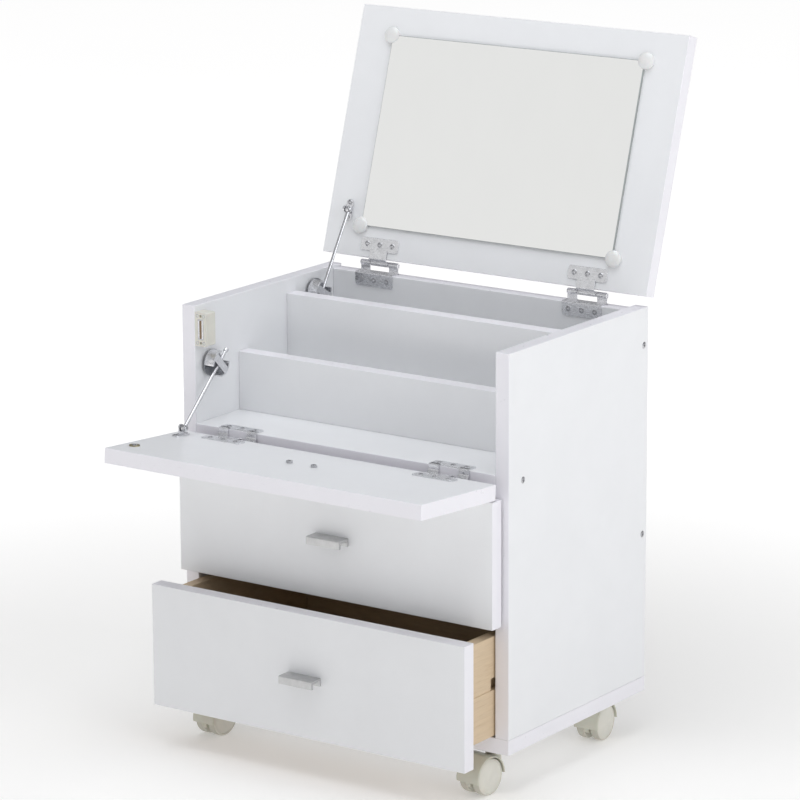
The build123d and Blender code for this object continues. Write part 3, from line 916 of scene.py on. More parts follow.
@dataclass
class Pull:
    """A folded satin pull: a hanging flange, a flat top and a front lip."""

    shop: Shop
    width: float = 41.0 * MM
    depth: float = 16.5 * MM
    drop: float = 8.4 * MM
    top: float = 2.6 * MM
    lip: float = 3.0 * MM
    flange: float = 2.4 * MM
    nose: float = 1.5 * MM

    def shape(self) -> bmesh.types.BMesh:
        """Shape the pull with its back on the XZ plane and its top at the origin."""
        outline = [
            (0.0, 0.0),
            (0.0, -self.drop),
            (-self.flange, -self.drop),
            (-self.flange, -self.top),
            (-self.depth + self.lip, -self.top),
            (-self.depth + self.lip, -self.drop),
            (-self.depth, -self.drop),
            (-self.depth, -self.nose),
            (-self.depth + 0.3 * self.nose, -0.3 * self.nose),
            (-self.depth + self.nose, 0.0),
        ]
        return rounded(prism(outline, (-self.width / 2, self.width / 2)), 0.35 * MM)

    def fit(self, node: str, body: str, place: Matrix) -> None:
        """Set the pull on its board."""
        bm = joined([(self.shape(), place, 0)])
        name = f"{node}_channel"
        self.shop.fit(name, bm, [self.shop.palette.satin], body, Slot.STEEL, [node])

    def build(self, flap_face: Matrix) -> None:
        """Set all three pulls.

        Args:
            flap_face: The flap's inner face, Y towards its hinge.
        """
        for body in ("upper_drawer", "lower_drawer"):
            node = f"{body}_pull"
            low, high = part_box(node)
            place = Matrix.Translation(((low.x + high.x) / 2, high.y, high.z))
            self.fit(node, body, place)
        low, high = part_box("flap_pull")
        middle = flap_face.inverted() @ ((low + high) / 2)
        back = Vector((0.0, middle.y - self.drop / 2, middle.z + self.depth / 2))
        self.fit("flap_pull", "flap", flap_face @ Matrix.Translation(back) @ OFF_Y)


# ---------------------------------------------------------------- hinges


@dataclass
class Hinges:
    """The four pressed hinges: fixed plates, T-shaped leaves, rolled knuckles and pins."""

    shop: Shop
    lid_face: Matrix
    flap_face: Matrix
    middles: tuple[float, float] = (-130.0 * MM, 130.0 * MM)
    width: float = 48.0 * MM
    sheet: float = 1.2 * MM
    tab: float = 12.0 * MM
    neck: float = 11.0 * MM
    head_start: float = 7.5 * MM
    head_length: float = 14.0 * MM
    knuckle_r: float = 3.0 * MM
    bore_r: float = 1.55 * MM
    pin_r: float = 1.5 * MM
    corner_r: float = 3.0 * MM
    broken: float = 0.15 * MM
    knuckle_roll: float = radians(338)
    lid_seam: float = radians(-70)
    flap_seam: float = radians(70)

    def knuckle(self, half: float, start: float) -> bmesh.types.BMesh:
        """Roll a barrel about X with an open seam.

        Args:
            half: Half its length.
            start: Angle of the seam, from Y towards Z.

        Returns:
            The barrel, centred on the origin.
        """
        section = [
            (self.bore_r, -half),
            (self.knuckle_r, -half),
            (self.knuckle_r, half),
            (self.bore_r, half),
        ]
        bm = rounded(turned(section, 30, self.knuckle_roll), self.broken, 1)
        turn = Matrix.Rotation(start, 4, "X") @ ROLLED_ON_X
        bmesh.ops.transform(bm, matrix=turn, verts=bm.verts)
        return bm

    def plate(self, low: Sequence[float], high: Sequence[float]) -> bmesh.types.BMesh:
        """Shape a flat plate with round corners, thin along Z."""
        bm = rounded_along(block(low, high), Z_AXIS, self.corner_r)
        return rounded(bm, self.broken, 1)

    def pressed(
        self, path: Outline, span: tuple[float, float], bend: float
    ) -> bmesh.types.BMesh:
        """Shape a bent strip with broken edges."""
        return rounded(bent_strip(path, span, self.sheet, bend), self.broken, 1)

    def tabs(self) -> list[tuple[float, float]]:
        """Give the X spans of a fixed plate's two tabs about its middle."""
        half = self.width / 2
        return [(-half, -self.tab), (self.tab, half)]

    def lid_plates(self) -> None:
        """Make the lid hinges' fixed plates."""
        axis = self.shop.pivot("lid_hinge")
        low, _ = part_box("lid_hinge_plates")
        _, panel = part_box("back_panel")
        front, under = low.y, low.z
        tab_y = axis.y - 1.3 * MM + self.sheet
        parts = []
        for x in self.middles:
            place = Matrix.Translation((x, 0.0, 0.0))
            wall = [(tab_y, panel.z + self.sheet), (front, panel.z + self.sheet), (front, under)]
            span = (-self.width / 2, self.width / 2)
            strip = bent_strip(wall, span, self.sheet, 1.6 * MM)
            rounded_along(strip, Y_AXIS, self.corner_r, longest=2 * MM)
            parts.append((rounded(strip, self.broken, 1), place, 0))
            for tab in self.tabs():
                rise = [(tab_y, panel.z), (tab_y, axis.z - 1.8 * MM)]
                parts.append((self.pressed(rise, tab, 0.5 * MM), place, 0))
                middle = Matrix.Translation((x + sum(tab) / 2, axis.y, axis.z))
                half = (tab[1] - tab[0]) / 2
                parts.append((self.knuckle(half, self.lid_seam), middle, 0))
        self.shop.fit(
            "lid_hinge_fixed_plates",
            joined(parts),
            [self.shop.palette.plate],
            "carcass",
            Slot.STEEL,
            ["lid_hinge_plates"],
        )

    def flap_plates(self) -> None:
        """Make the flap hinges' fixed plates."""
        axis = self.shop.pivot("flap_hinge")
        shelf_low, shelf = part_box("middle_shelf")
        front = shelf_low.y
        parts = []
        for x in self.middles:
            place = Matrix.Translation((x, 0.0, 0.0))
            low = (-self.width / 2, front + 0.4 * MM, shelf.z)
            high = (self.width / 2, front + 13.0 * MM, shelf.z + self.sheet)
            parts.append((self.plate(low, high), place, 0))
            for tab in self.tabs():
                path = [
                    (front + 3.0 * MM, shelf.z + self.sheet),
                    (front - 1.6 * MM, shelf.z + self.sheet),
                    (front - 1.6 * MM, shelf.z - 5.0 * MM),
                    (axis.y + 1.6 * MM, axis.z + 2.2 * MM),
                ]
                parts.append((self.pressed(path, tab, 1.0 * MM), place, 0))
                middle = Matrix.Translation((x + sum(tab) / 2, axis.y, axis.z))
                half = (tab[1] - tab[0]) / 2
                parts.append((self.knuckle(half, self.flap_seam), middle, 0))
        self.shop.fit(
            "flap_hinge_fixed_plates",
            joined(parts),
            [self.shop.palette.plate],
            "carcass",
            Slot.STEEL,
            ["flap_hinge_plates"],
        )

    def leaves(self, face: Matrix, joint: str, body: str, outward: float) -> None:
        """Make the two T-shaped leaves of a moving board.

        Args:
            face: The board's inner face, its origin on the edge beside the hinge.
            joint: The hinge's joint.
            body: The moving board's body.
            outward: Sign of the face's Y on the hinge's side of the edge.
        """
        axis = face.inverted() @ self.shop.pivot(joint)
        near, far = -outward * self.head_start, -outward * (self.head_start + self.head_length)
        # the neck starts inside the head's sheet, so that the shut board clears what it meets
        sunk = self.sheet / 2
        path = [
            (axis.y - outward * 1.9 * MM, axis.z + 1.2 * MM),
            (outward * 1.4 * MM, sunk),
            (near - outward * 2.0 * MM, sunk),
        ]
        if outward > 0:
            path.reverse()
        seam = radians(200 if outward > 0 else -20)
        parts = []
        for x in self.middles:
            low = (x - self.width / 2, min(near, far), 0.0)
            high = (x + self.width / 2, max(near, far), self.sheet)
            parts.append((self.plate(low, high), face, 0))
            span = (x - self.neck, x + self.neck)
            parts.append((self.pressed(path, span, self.sheet), face, 0))
            middle = face @ Matrix.Translation((x, axis.y, axis.z))
            parts.append((self.knuckle(self.neck - 0.1 * MM, seam), middle, 0))
        name = f"{body}_hinge_leaves"
        self.shop.fit(
            f"{name}_pressed",
            joined(parts),
            [self.shop.palette.plate],
            body,
            Slot.STEEL,
            [name],
        )

    def pins(self) -> None:
        """Make the four hinge pins with rounded ends."""
        half = (self.width + 1.0 * MM) / 2
        outline = [
            (0.0, -half),
            (self.pin_r * 0.75, -half),
            (self.pin_r, -half + 0.4 * MM),
            (self.pin_r, half - 0.4 * MM),
            (self.pin_r * 0.75, half),
            (0.0, half),
        ]
        places = [
            Matrix.Translation((x, pivot.y, pivot.z)) @ ON_X
            for pivot in (self.shop.pivot("lid_hinge"), self.shop.pivot("flap_hinge"))
            for x in self.middles
        ]
        bm = copies(lambda: turned(outline, 20), places)
        rod = [self.shop.palette.rod]
        self.shop.fit("hinge_pins_turned", bm, rod, "carcass", Slot.STEEL, ["hinge_pins"])

    def build(self) -> None:
        """Make every hinge part."""
        self.lid_plates()
        self.flap_plates()
        self.leaves(self.lid_face, "lid_hinge", "lid", -1.0)
        self.leaves(self.flap_face, "flap_hinge", "flap", 1.0)
        self.pins()


# ---------------------------------------------------------------- mirror


@dataclass
class MirrorSet:
    """The mirror on the lid's inner face with its four corner clips."""

    shop: Shop
    lid_face: Matrix
    width: float = 313.0 * MM
    height: float = 204.5 * MM
    thick: float = 3.0 * MM
    bottom: float = 33.0 * MM
    bevel: float = 0.5 * MM
    clip_r: float = 9.0 * MM
    clip_height: float = 6.2 * MM
    clip_out: float = 1.5 * MM

    def glass(self) -> None:
        """Make the glass with ground edges."""
        low = (-self.width / 2, self.bottom, 0.0)
        high = (self.width / 2, self.bottom + self.height, self.thick)
        bm = rounded(block(low, high), self.bevel, 2)
        bm.normal_update()
        for face in bm.faces:
            face.material_index = 0 if abs(face.normal.z) > 0.99 else 1
        finishes = [self.shop.palette.silver, self.shop.palette.ground_glass]
        placed = joined([(bm, self.lid_face, -1)])
        self.shop.fit("mirror_glass", placed, finishes, "lid", Slot.MIRROR, ["mirror"])

    def clips(self) -> None:
        """Make the domed clips."""
        radius, height = self.clip_r, self.clip_height
        outline = [
            (0.0, 0.0),
            (radius - 0.3 * MM, 0.0),
            (radius, 0.3 * MM),
            (radius, self.thick),
            (radius * 0.97, self.thick + 0.7 * MM),
            (radius * 0.88, self.thick + 1.5 * MM),
            (radius * 0.72, self.thick + 2.25 * MM),
            (radius * 0.5, self.thick + 2.85 * MM),
            (radius * 0.26, height - 0.08 * MM),
            (0.0, height),
        ]
        places = [
            self.lid_face
            @ Matrix.Translation((side * (self.width / 2 + self.clip_out), self.bottom + up, 0.0))
            for side in (-1, 1)
            for up in (0.0, self.height)
        ]
        bm = copies(lambda: turned(outline, 40), places)
        clip = [self.shop.palette.clip]
        self.shop.fit(
            "mirror_clip_domes", bm, clip, "lid", Slot.WHITE_PLASTIC, ["mirror_clips"]
        )

    def build(self) -> None:
        """Make the glass and the clips."""
        self.glass()
        self.clips()


# ---------------------------------------------------------------- stays


@dataclass
class Stay:
    """A stay: a bracket on the moving board, a rod with an eye, and a swivelling cup."""

    shop: Shop
    board: str
    face: Matrix
    rod_r: float = 1.75 * MM
    eye_r: float = 3.6 * MM
    eye_thick: float = 4.0 * MM
    tail: float = 15.0 * MM
    knob_r: float = 2.6 * MM
    knob: float = 4.0 * MM
    cup_r: float = 14.0 * MM
    cup_wall: float = 2.0 * MM
    cup_back: float = -181.5 * MM
    cup_front: float = -168.5 * MM
    slot_half: float = 9.4 * MM
    bridge: float = 1.3 * MM
    foot_x: float = -176.5 * MM
    foot: tuple[float, float, float] = (9.0 * MM, 23.0 * MM, 1.5 * MM)
    ear_x: float = -177.3 * MM
    ear: float = 2.0 * MM
    ear_half: float = 4.0 * MM
    pin_r: float = 1.5 * MM
    bar_half: float = 4.0 * MM

    @property
    def eye(self) -> Vector:
        """Place of the rod's eye."""
        return self.shop.pivot(f"{self.board}_stay_rod_pivot")

    @property
    def centre(self) -> Vector:
        """Place of the cup's middle, in the rod's plane."""
        return self.shop.pivot(f"{self.board}_stay_swivel")

    def rod_place(self) -> Matrix:
        """Give the rod's placement: the origin in its eye and Z along it."""
        return frame_of(self.eye, X_AXIS, self.centre - self.eye)

    def rod(self) -> None:
        """Make the rod with its flattened eye and its knob."""
        reach = (self.centre - self.eye).length + self.tail
        outline = [
            (0.0, 2.4 * MM),
            (self.rod_r * 1.15, 2.4 * MM),
            (self.rod_r, 6.0 * MM),
            (self.rod_r, reach),
            (self.knob_r - 0.5 * MM, reach),
            (self.knob_r, reach + 0.5 * MM),
            (self.knob_r, reach + self.knob - 0.8 * MM),
            (self.knob_r - 0.8 * MM, reach + self.knob),
            (0.0, reach + self.knob),
        ]
        half, bore = self.eye_thick / 2, self.pin_r + 0.05 * MM
        ring = [
            (bore, -half),
            (self.eye_r, -half),
            (self.eye_r, half),
            (bore, half),
            (bore, -half),
        ]
        place = self.rod_place()
        eye = rounded(turned(ring, 32), 0.5 * MM, 3)
        bm = joined([(turned(outline, 24), place, 0), (eye, place @ ON_X, 0)])
        node = f"{self.board}_stay_rod"
        rod = [self.shop.palette.rod]
        self.shop.fit(f"{node}_bright", bm, rod, node, Slot.STEEL, [node])

    def cup(self) -> None:
        """Make the cup: a dish with two curved walls and a bridge over the rod."""
        depth = self.cup_front - self.cup_back
        dish = [
            (0.0, 0.0),
            (self.cup_r - 0.6 * MM, 0.0),
            (self.cup_r, 0.6 * MM),
            (self.cup_r, self.cup_wall),
            (self.cup_r - self.cup_wall, self.cup_wall),
            (0.0, self.cup_wall),
        ]
        wall = [
            (self.cup_r - self.cup_wall, self.cup_wall * 0.5),
            (self.cup_r, self.cup_wall * 0.5),
            (self.cup_r, depth),
            (self.cup_r - self.cup_wall, depth),
        ]
        sweep = 2 * acos(self.slot_half / self.cup_r)
        run = self.centre - self.eye
        lean = atan2(run.z, run.y)
        # the cup's X lies across the rod, so that its walls stand either side of it
        place = (
            Matrix.Translation((self.cup_back, self.centre.y, self.centre.z))
            @ Matrix.Rotation(lean, 4, "X")
            @ ON_X
        )
        parts = [(turned(dish, 48), place, 0)]
        for side in (0.0, pi):
            shape = rounded(turned(wall, 24, sweep), 0.4 * MM, 2)
            start = Matrix.Rotation(side - sweep / 2, 4, "Z")
            parts.append((shape, place @ start, 1))
        half = self.cup_r - self.cup_wall + 0.5 * MM
        bar = block((-half, -self.bar_half, depth - self.bridge), (half, self.bar_half, depth))
        parts.append((rounded(bar, 0.4 * MM, 3), place, 1))
        node = f"{self.board}_stay_cup"
        finishes = [self.shop.palette.zinc, self.shop.palette.plate]
        self.shop.fit(f"{node}_cast", joined(parts), finishes, node, Slot.DARK_STEEL, [node])

    def bracket(self) -> None:
        """Make the bracket's foot, its ear and the rod's pin."""
        pivot = self.face.inverted() @ self.eye
        width, length, thick = self.foot
        low = (self.foot_x - width / 2, pivot.y - length / 2, 0.0)
        high = (self.foot_x + width / 2, pivot.y + length / 2, thick)
        foot = rounded_along(block(low, high), Z_AXIS, width * 0.42, 6)
        ear_low = (self.ear_x, pivot.y - self.ear_half, 0.5 * MM)
        ear_high = (self.ear_x + self.ear, pivot.y + self.ear_half, pivot.z)
        across = self.face @ Matrix.Translation((0.0, pivot.y, pivot.z)) @ ON_X
        lobe = [
            (0.0, self.ear_x),
            (self.ear_half, self.ear_x),
            (self.ear_half, self.ear_x + self.ear),
            (0.0, self.ear_x + self.ear),
        ]
        head = self.eye.x + self.eye_thick / 2 + 0.4 * MM
        pin = [
            (0.0, self.ear_x + 0.5 * MM),
            (self.pin_r, self.ear_x + 0.5 * MM),
            (self.pin_r, head),
            (2.8 * MM, head),
            (3.0 * MM, head + 0.3 * MM),
            (2.2 * MM, head + 0.9 * MM),
            (0.0, head + 1.0 * MM),
        ]
        parts = [
            (rounded(foot, 0.25 * MM, 2), self.face, 0),
            (rounded(block(ear_low, ear_high), 0.2 * MM, 1), self.face, 0),
            (rounded(turned(lobe, 32), 0.25 * MM, 2), across, 0),
            (turned(pin, 24), across, 1),
        ]
        node = f"{self.board}_stay_bracket"
        finishes = [self.shop.palette.plate, self.shop.palette.rod]
        self.shop.fit(f"{node}_pressed", joined(parts), finishes, self.board, Slot.STEEL, [node])

    def build(self) -> None:
        """Make the stay's moving parts."""
        self.bracket()
        self.rod()
        self.cup()


@dataclass
class StayStuds:
    """The fixed studs that the two stay cups swivel on."""

    shop: Shop
    base_r: float = 6.0 * MM
    base: float = 2.2 * MM
    stud_r: float = 2.45 * MM
    head_r: float = 4.0 * MM
    head_at: float = 4.8 * MM
    head: float = 1.5 * MM

    def build(self) -> None:
        """Make both studs."""
        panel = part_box("side_panel_left")[1].x
        outline = [
            (0.0, 0.0),
            (self.base_r, 0.0),
            (self.base_r, self.base - 0.4 * MM),
            (self.base_r - 0.4 * MM, self.base),
            (self.stud_r, self.base),
            (self.stud_r, self.head_at),
            (self.head_r, self.head_at),
            (self.head_r, self.head_at + 0.6 * MM),
            (self.head_r * 0.6, self.head_at + self.head * 0.9),
            (0.0, self.head_at + self.head),
        ]
        places = []
        for board in ("lid", "flap"):
            spot = self.shop.pivot(f"{board}_stay_swivel")
            places.append(Matrix.Translation((panel, spot.y, spot.z)) @ ON_X)
        bm = copies(lambda: turned(outline, 36), places)
        rod = [self.shop.palette.rod]
        self.shop.fit("stay_studs_turned", bm, rod, "carcass", Slot.STEEL, ["stay_pivots"])


# ---------------------------------------------------------------- catch


@dataclass
class Catch:
    """The magnetic catch on the left side panel and its striker on the flap."""

    shop: Shop
    flap_face: Matrix
    arris: float = 0.5 * MM
    shortest_arris: float = 6.0 * MM
    rim: float = 1.1 * MM
    rim_rise: float = 0.35 * MM
    eyelet_r: float = 1.9 * MM
    eyelet_rise: float = 0.25 * MM
    eyelet_inset: tuple[float, float] = (3.2 * MM, 3.4 * MM)
    strip: float = 1.0 * MM
    striker_r: float = 5.6 * MM
    striker_thick: float = 1.2 * MM
    striker_bore: float = 3.05 * MM

    def magnet_rim(self, front: float) -> list[tuple[bmesh.types.BMesh, Matrix, int]]:
        """Make the four bars of the steel rim round the magnet.

        Args:
            front: Y of the block's front.

        Returns:
            The bars, ready to join.
        """
        low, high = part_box("catch_magnet")
        rim = self.rim
        sides = (
            ((low.x - rim, low.z - rim), (low.x, high.z + rim)),
            ((high.x, low.z - rim), (high.x + rim, high.z + rim)),
            ((low.x, low.z - rim), (high.x, low.z)),
            ((low.x, high.z), (high.x, high.z + rim)),
        )
        bars = []
        for (x0, z0), (x1, z1) in sides:
            bar = block((x0, front - self.rim_rise, z0), (x1, front + 1.0 * MM, z1))
            bars.append((rounded(bar, 0.15 * MM, 1), UNMOVED, 1))
        return bars

    def body_block(self) -> None:
        """Make the moulded block with the magnet's rim and four eyelets."""
        low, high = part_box("magnetic_catch")
        bm = self.shop.flat_copy_of("magnetic_catch")
        edges = [
            edge
            for edge in bm.edges
            if solid_angle(edge) > radians(60)
            and edge.is_convex
            and edge.calc_length() > self.shortest_arris
        ]
        bevelled(bm, edges, self.arris, 2)
        parts = [(bm, UNMOVED, 0), *self.magnet_rim(low.y)]
        eyelet = [
            (0.0, -0.6 * MM),
            (self.eyelet_r - 0.6 * MM, -0.6 * MM),
            (self.eyelet_r - 0.6 * MM, self.eyelet_rise),
            (self.eyelet_r - 0.1 * MM, self.eyelet_rise),
            (self.eyelet_r, 0.0),
            (self.eyelet_r, -0.6 * MM),
            (0.0, -0.6 * MM),
        ]
        aside, above = self.eyelet_inset
        for x in (low.x + aside, high.x - aside):
            for z in (low.z + above, high.z - above):
                place = Matrix.Translation((x, low.y, z)) @ OFF_Y
                parts.append((turned(eyelet, 20), place, 1))
        ivory = [self.shop.palette.ivory, self.shop.palette.screw]
        self.shop.fit(
            "catch_block_moulded",
            joined(parts),
            ivory,
            "carcass",
            Slot.IVORY_PLASTIC,
            ["magnetic_catch"],
        )

    def magnet(self) -> None:
        """Make the magnet between its two steel strips."""
        low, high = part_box("catch_magnet")
        sunk = low.y + 0.5 * MM
        core = block((low.x + self.strip, sunk, low.z), (high.x - self.strip, high.y, high.z))
        parts = [(rounded(core, 0.2 * MM, 1), UNMOVED, 0)]
        for x in (low.x, high.x - self.strip):
            strip = block((x, low.y, low.z), (x + self.strip, high.y, high.z))
            parts.append((rounded(strip, 0.2 * MM, 1), UNMOVED, 1))
        finishes = [self.shop.palette.ferrite, self.shop.palette.plate]
        self.shop.fit(
            "catch_magnet_strips", joined(parts), finishes, "carcass", Slot.STEEL, ["catch_magnet"]
        )

    def striker(self) -> None:
        """Make the dished striker plate."""
        low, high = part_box("striker_plate")
        middle = self.flap_face.inverted() @ ((low + high) / 2)
        place = self.flap_face @ Matrix.Translation((middle.x, middle.y, 0.0))
        thick, radius, bore = self.striker_thick, self.striker_r, self.striker_bore
        outline = [
            (bore, 0.0),
            (radius - 0.2 * MM, 0.0),
            (radius, 0.25 * MM),
            (radius - 0.3 * MM, thick),
            (radius - 0.9 * MM, thick),
            (radius - 1.3 * MM, thick - 0.3 * MM),
            (bore + 0.35 * MM, thick - 0.3 * MM),
            (bore, thick - 0.1 * MM),
            (bore, 0.0),
        ]
        bm = joined([(turned(outline, 40), place, 0)])
        brass = [self.shop.palette.brass]
        self.shop.fit("striker_dished", bm, brass, "flap", Slot.BRASS, ["striker_plate"])

    def build(self) -> None:
        """Make the catch and its striker."""
        self.body_block()
        self.magnet()
        self.striker()


# ---------------------------------------------------------------- casters


@dataclass
class Caster:
    """A twin-wheel caster: two domed wheels on an axle under a hood with a swivel boss."""

    shop: Shop
    corner: str
    wheel_r: float = 19.0 * MM
    wheel_width: float = 11.0 * MM
    web: float = 5.0 * MM
    gap: float = 0.6 * MM
    hood_inner: float = 20.0 * MM
    hood_outer: float = 22.0 * MM
    hood_half: float = 14.2 * MM
    hood_sweep: float = radians(188)
    web_back: float = radians(20)
    web_front: float = radians(15)
    hub_r: float = 6.0 * MM
    hub_rise: float = 0.3 * MM
    trail: float = 20.0 * MM
    boss_r: float = 8.0 * MM
    boss: float = 14.0 * MM
    boss_top: float = 43.2 * MM
    axle_r: float = 2.5 * MM

    def place(self) -> Matrix:
        """Give the axle's placement: X along it and Z up."""
        axis = Vector(self.shop.joints[f"wheel_spin_{self.corner}"]["axis"])
        return frame_of(self.shop.pivot(f"wheel_spin_{self.corner}"), axis, Z_AXIS)

    def wheel(self) -> bmesh.types.BMesh:
        """Turn one wheel: its outer face, with rim, dish and cap, towards +Z."""
        radius, width = self.wheel_r, self.wheel_width
        outline = [
            (0.0, 0.0),
            (radius - 4.0 * MM, 0.0),
            (radius - 3.0 * MM, 0.6 * MM),
            (radius - 1.0 * MM, 0.6 * MM),
            (radius, 1.6 * MM),
            (radius, width - 3.2 * MM),
            (radius - 0.4 * MM, width - 2.0 * MM),
            (radius - 1.4 * MM, width - 1.1 * MM),
            (radius - 2.2 * MM, width - 0.9 * MM),
            (radius - 2.6 * MM, width - 1.5 * MM),
            (radius - 3.0 * MM, width - 1.3 * MM),
            (radius - 5.0 * MM, width - 0.8 * MM),
            (radius - 9.0 * MM, width - 0.3 * MM),
            (radius - 13.0 * MM, width - 0.05 * MM),
            (0.0, width),
        ]
        bm = turned(outline, 72)
        for face in bm.faces:
            centre = face.calc_center_median()
            on_rim = Vector((centre.x, centre.y)).length > radius - 0.3 * MM
            face.material_index = 1 if on_rim else 0
        return bm

    def wheels(self) -> None:
        """Make the wheel pair."""
        apart = Matrix.Translation((0, 0, self.web / 2 + self.gap))
        flip = Matrix.Rotation(pi, 4, "Y")
        middle = self.place() @ ON_X
        bm = copies(self.wheel, [middle @ apart, middle @ flip @ apart])
        node = f"caster_wheels_{self.corner}"
        finishes = [self.shop.palette.ivory, self.shop.palette.tread]
        self.shop.fit(f"{node}_domed", bm, finishes, node, Slot.IVORY_PLASTIC, [node])

    def hood(self) -> None:
        """Make the hood: an arched shell, the web between the wheels, and the boss."""
        half = self.hood_half
        shell = [
            (self.hood_inner, -half),
            (self.hood_outer - 0.9 * MM, -half),
            (self.hood_outer, -half + 1.4 * MM),
            (self.hood_outer, half - 1.4 * MM),
            (self.hood_outer - 0.9 * MM, half),
            (self.hood_inner, half),
        ]
        web = [
            (0.5 * MM, -self.web / 2),
            (self.hood_inner + 0.5 * MM, -self.web / 2),
            (self.hood_inner + 0.5 * MM, self.web / 2),
            (0.5 * MM, self.web / 2),
        ]
        hub_half = self.web / 2 + self.hub_rise
        hub = [
            (0.0, -hub_half),
            (self.hub_r, -hub_half),
            (self.hub_r, hub_half),
            (0.0, hub_half),
        ]
        # each turned shape starts on the stem's side of the axle and goes up and over
        lay = self.place() @ ROLLED_ON_X
        tilt = Matrix.Rotation(-self.web_back, 4, "Z")
        web_sweep = self.web_back + self.hood_sweep + self.web_front
        boss = [
            (0.0, -self.boss),
            (self.boss_r - 1.0 * MM, -self.boss),
            (self.boss_r, -self.boss + 1.0 * MM),
            (self.boss_r, -0.8 * MM),
            (self.boss_r - 0.8 * MM, 0.0),
            (0.0, 0.0),
        ]
        top = Matrix.Translation((0, self.trail, self.boss_top - self.wheel_r))
        parts = [
            (rounded(turned(shell, 56, self.hood_sweep), 0.3 * MM, 1), lay, 0),
            (turned(web, 48, web_sweep), lay @ tilt, 0),
            (turned(hub, 32), lay, 0),
            (turned(boss, 36), self.place() @ top, 0),
        ]
        node = f"caster_hood_{self.corner}"
        body = f"caster_{self.corner}"
        hood = [self.shop.palette.hood]
        self.shop.fit(f"{node}_moulded", joined(parts), hood, body, Slot.IVORY_PLASTIC, [node])

    def axle(self) -> None:
        """Make the axle with its rounded ends."""
        half = self.web / 2 + self.gap + self.wheel_width - 1.0 * MM
        outline = [
            (0.0, -half),
            (self.axle_r - 0.4 * MM, -half),
            (self.axle_r, -half + 0.4 * MM),
            (self.axle_r, half - 0.4 * MM),
            (self.axle_r - 0.4 * MM, half),
            (0.0, half),
        ]
        bm = joined([(turned(outline, 24), self.place() @ ON_X, 0)])
        node = f"caster_axle_{self.corner}"
        rod = [self.shop.palette.rod]
        self.shop.fit(f"{node}_turned", bm, rod, f"caster_{self.corner}", Slot.STEEL, [node])

    def build(self) -> None:
        """Make the caster's moving parts."""
        self.wheels()
        self.hood()
        self.axle()


# ---------------------------------------------------------------- studio


@dataclass(frozen=True)
class SoftLight:
    """A square soft light that faces the table's middle."""

    name: str
    at: tuple[float, float, float]
    size: float
    power: float
    colour: Colour

    def hang(self, middle: Vector) -> None:
        """Hang the light.

        Args:
            middle: The place that it faces.
        """
        data = bpy.data.lights.new(self.name, "AREA")
        data.size = self.size
        data.energy = self.power
        data.color = self.colour
        lamp = bpy.data.objects.new(self.name, data)
        lamp.location = self.at
        lamp.visible_camera = False
        aim = middle - Vector(self.at)
        lamp.rotation_euler = aim.to_track_quat("-Z", "Y").to_euler()
        bpy.context.scene.collection.objects.link(lamp)


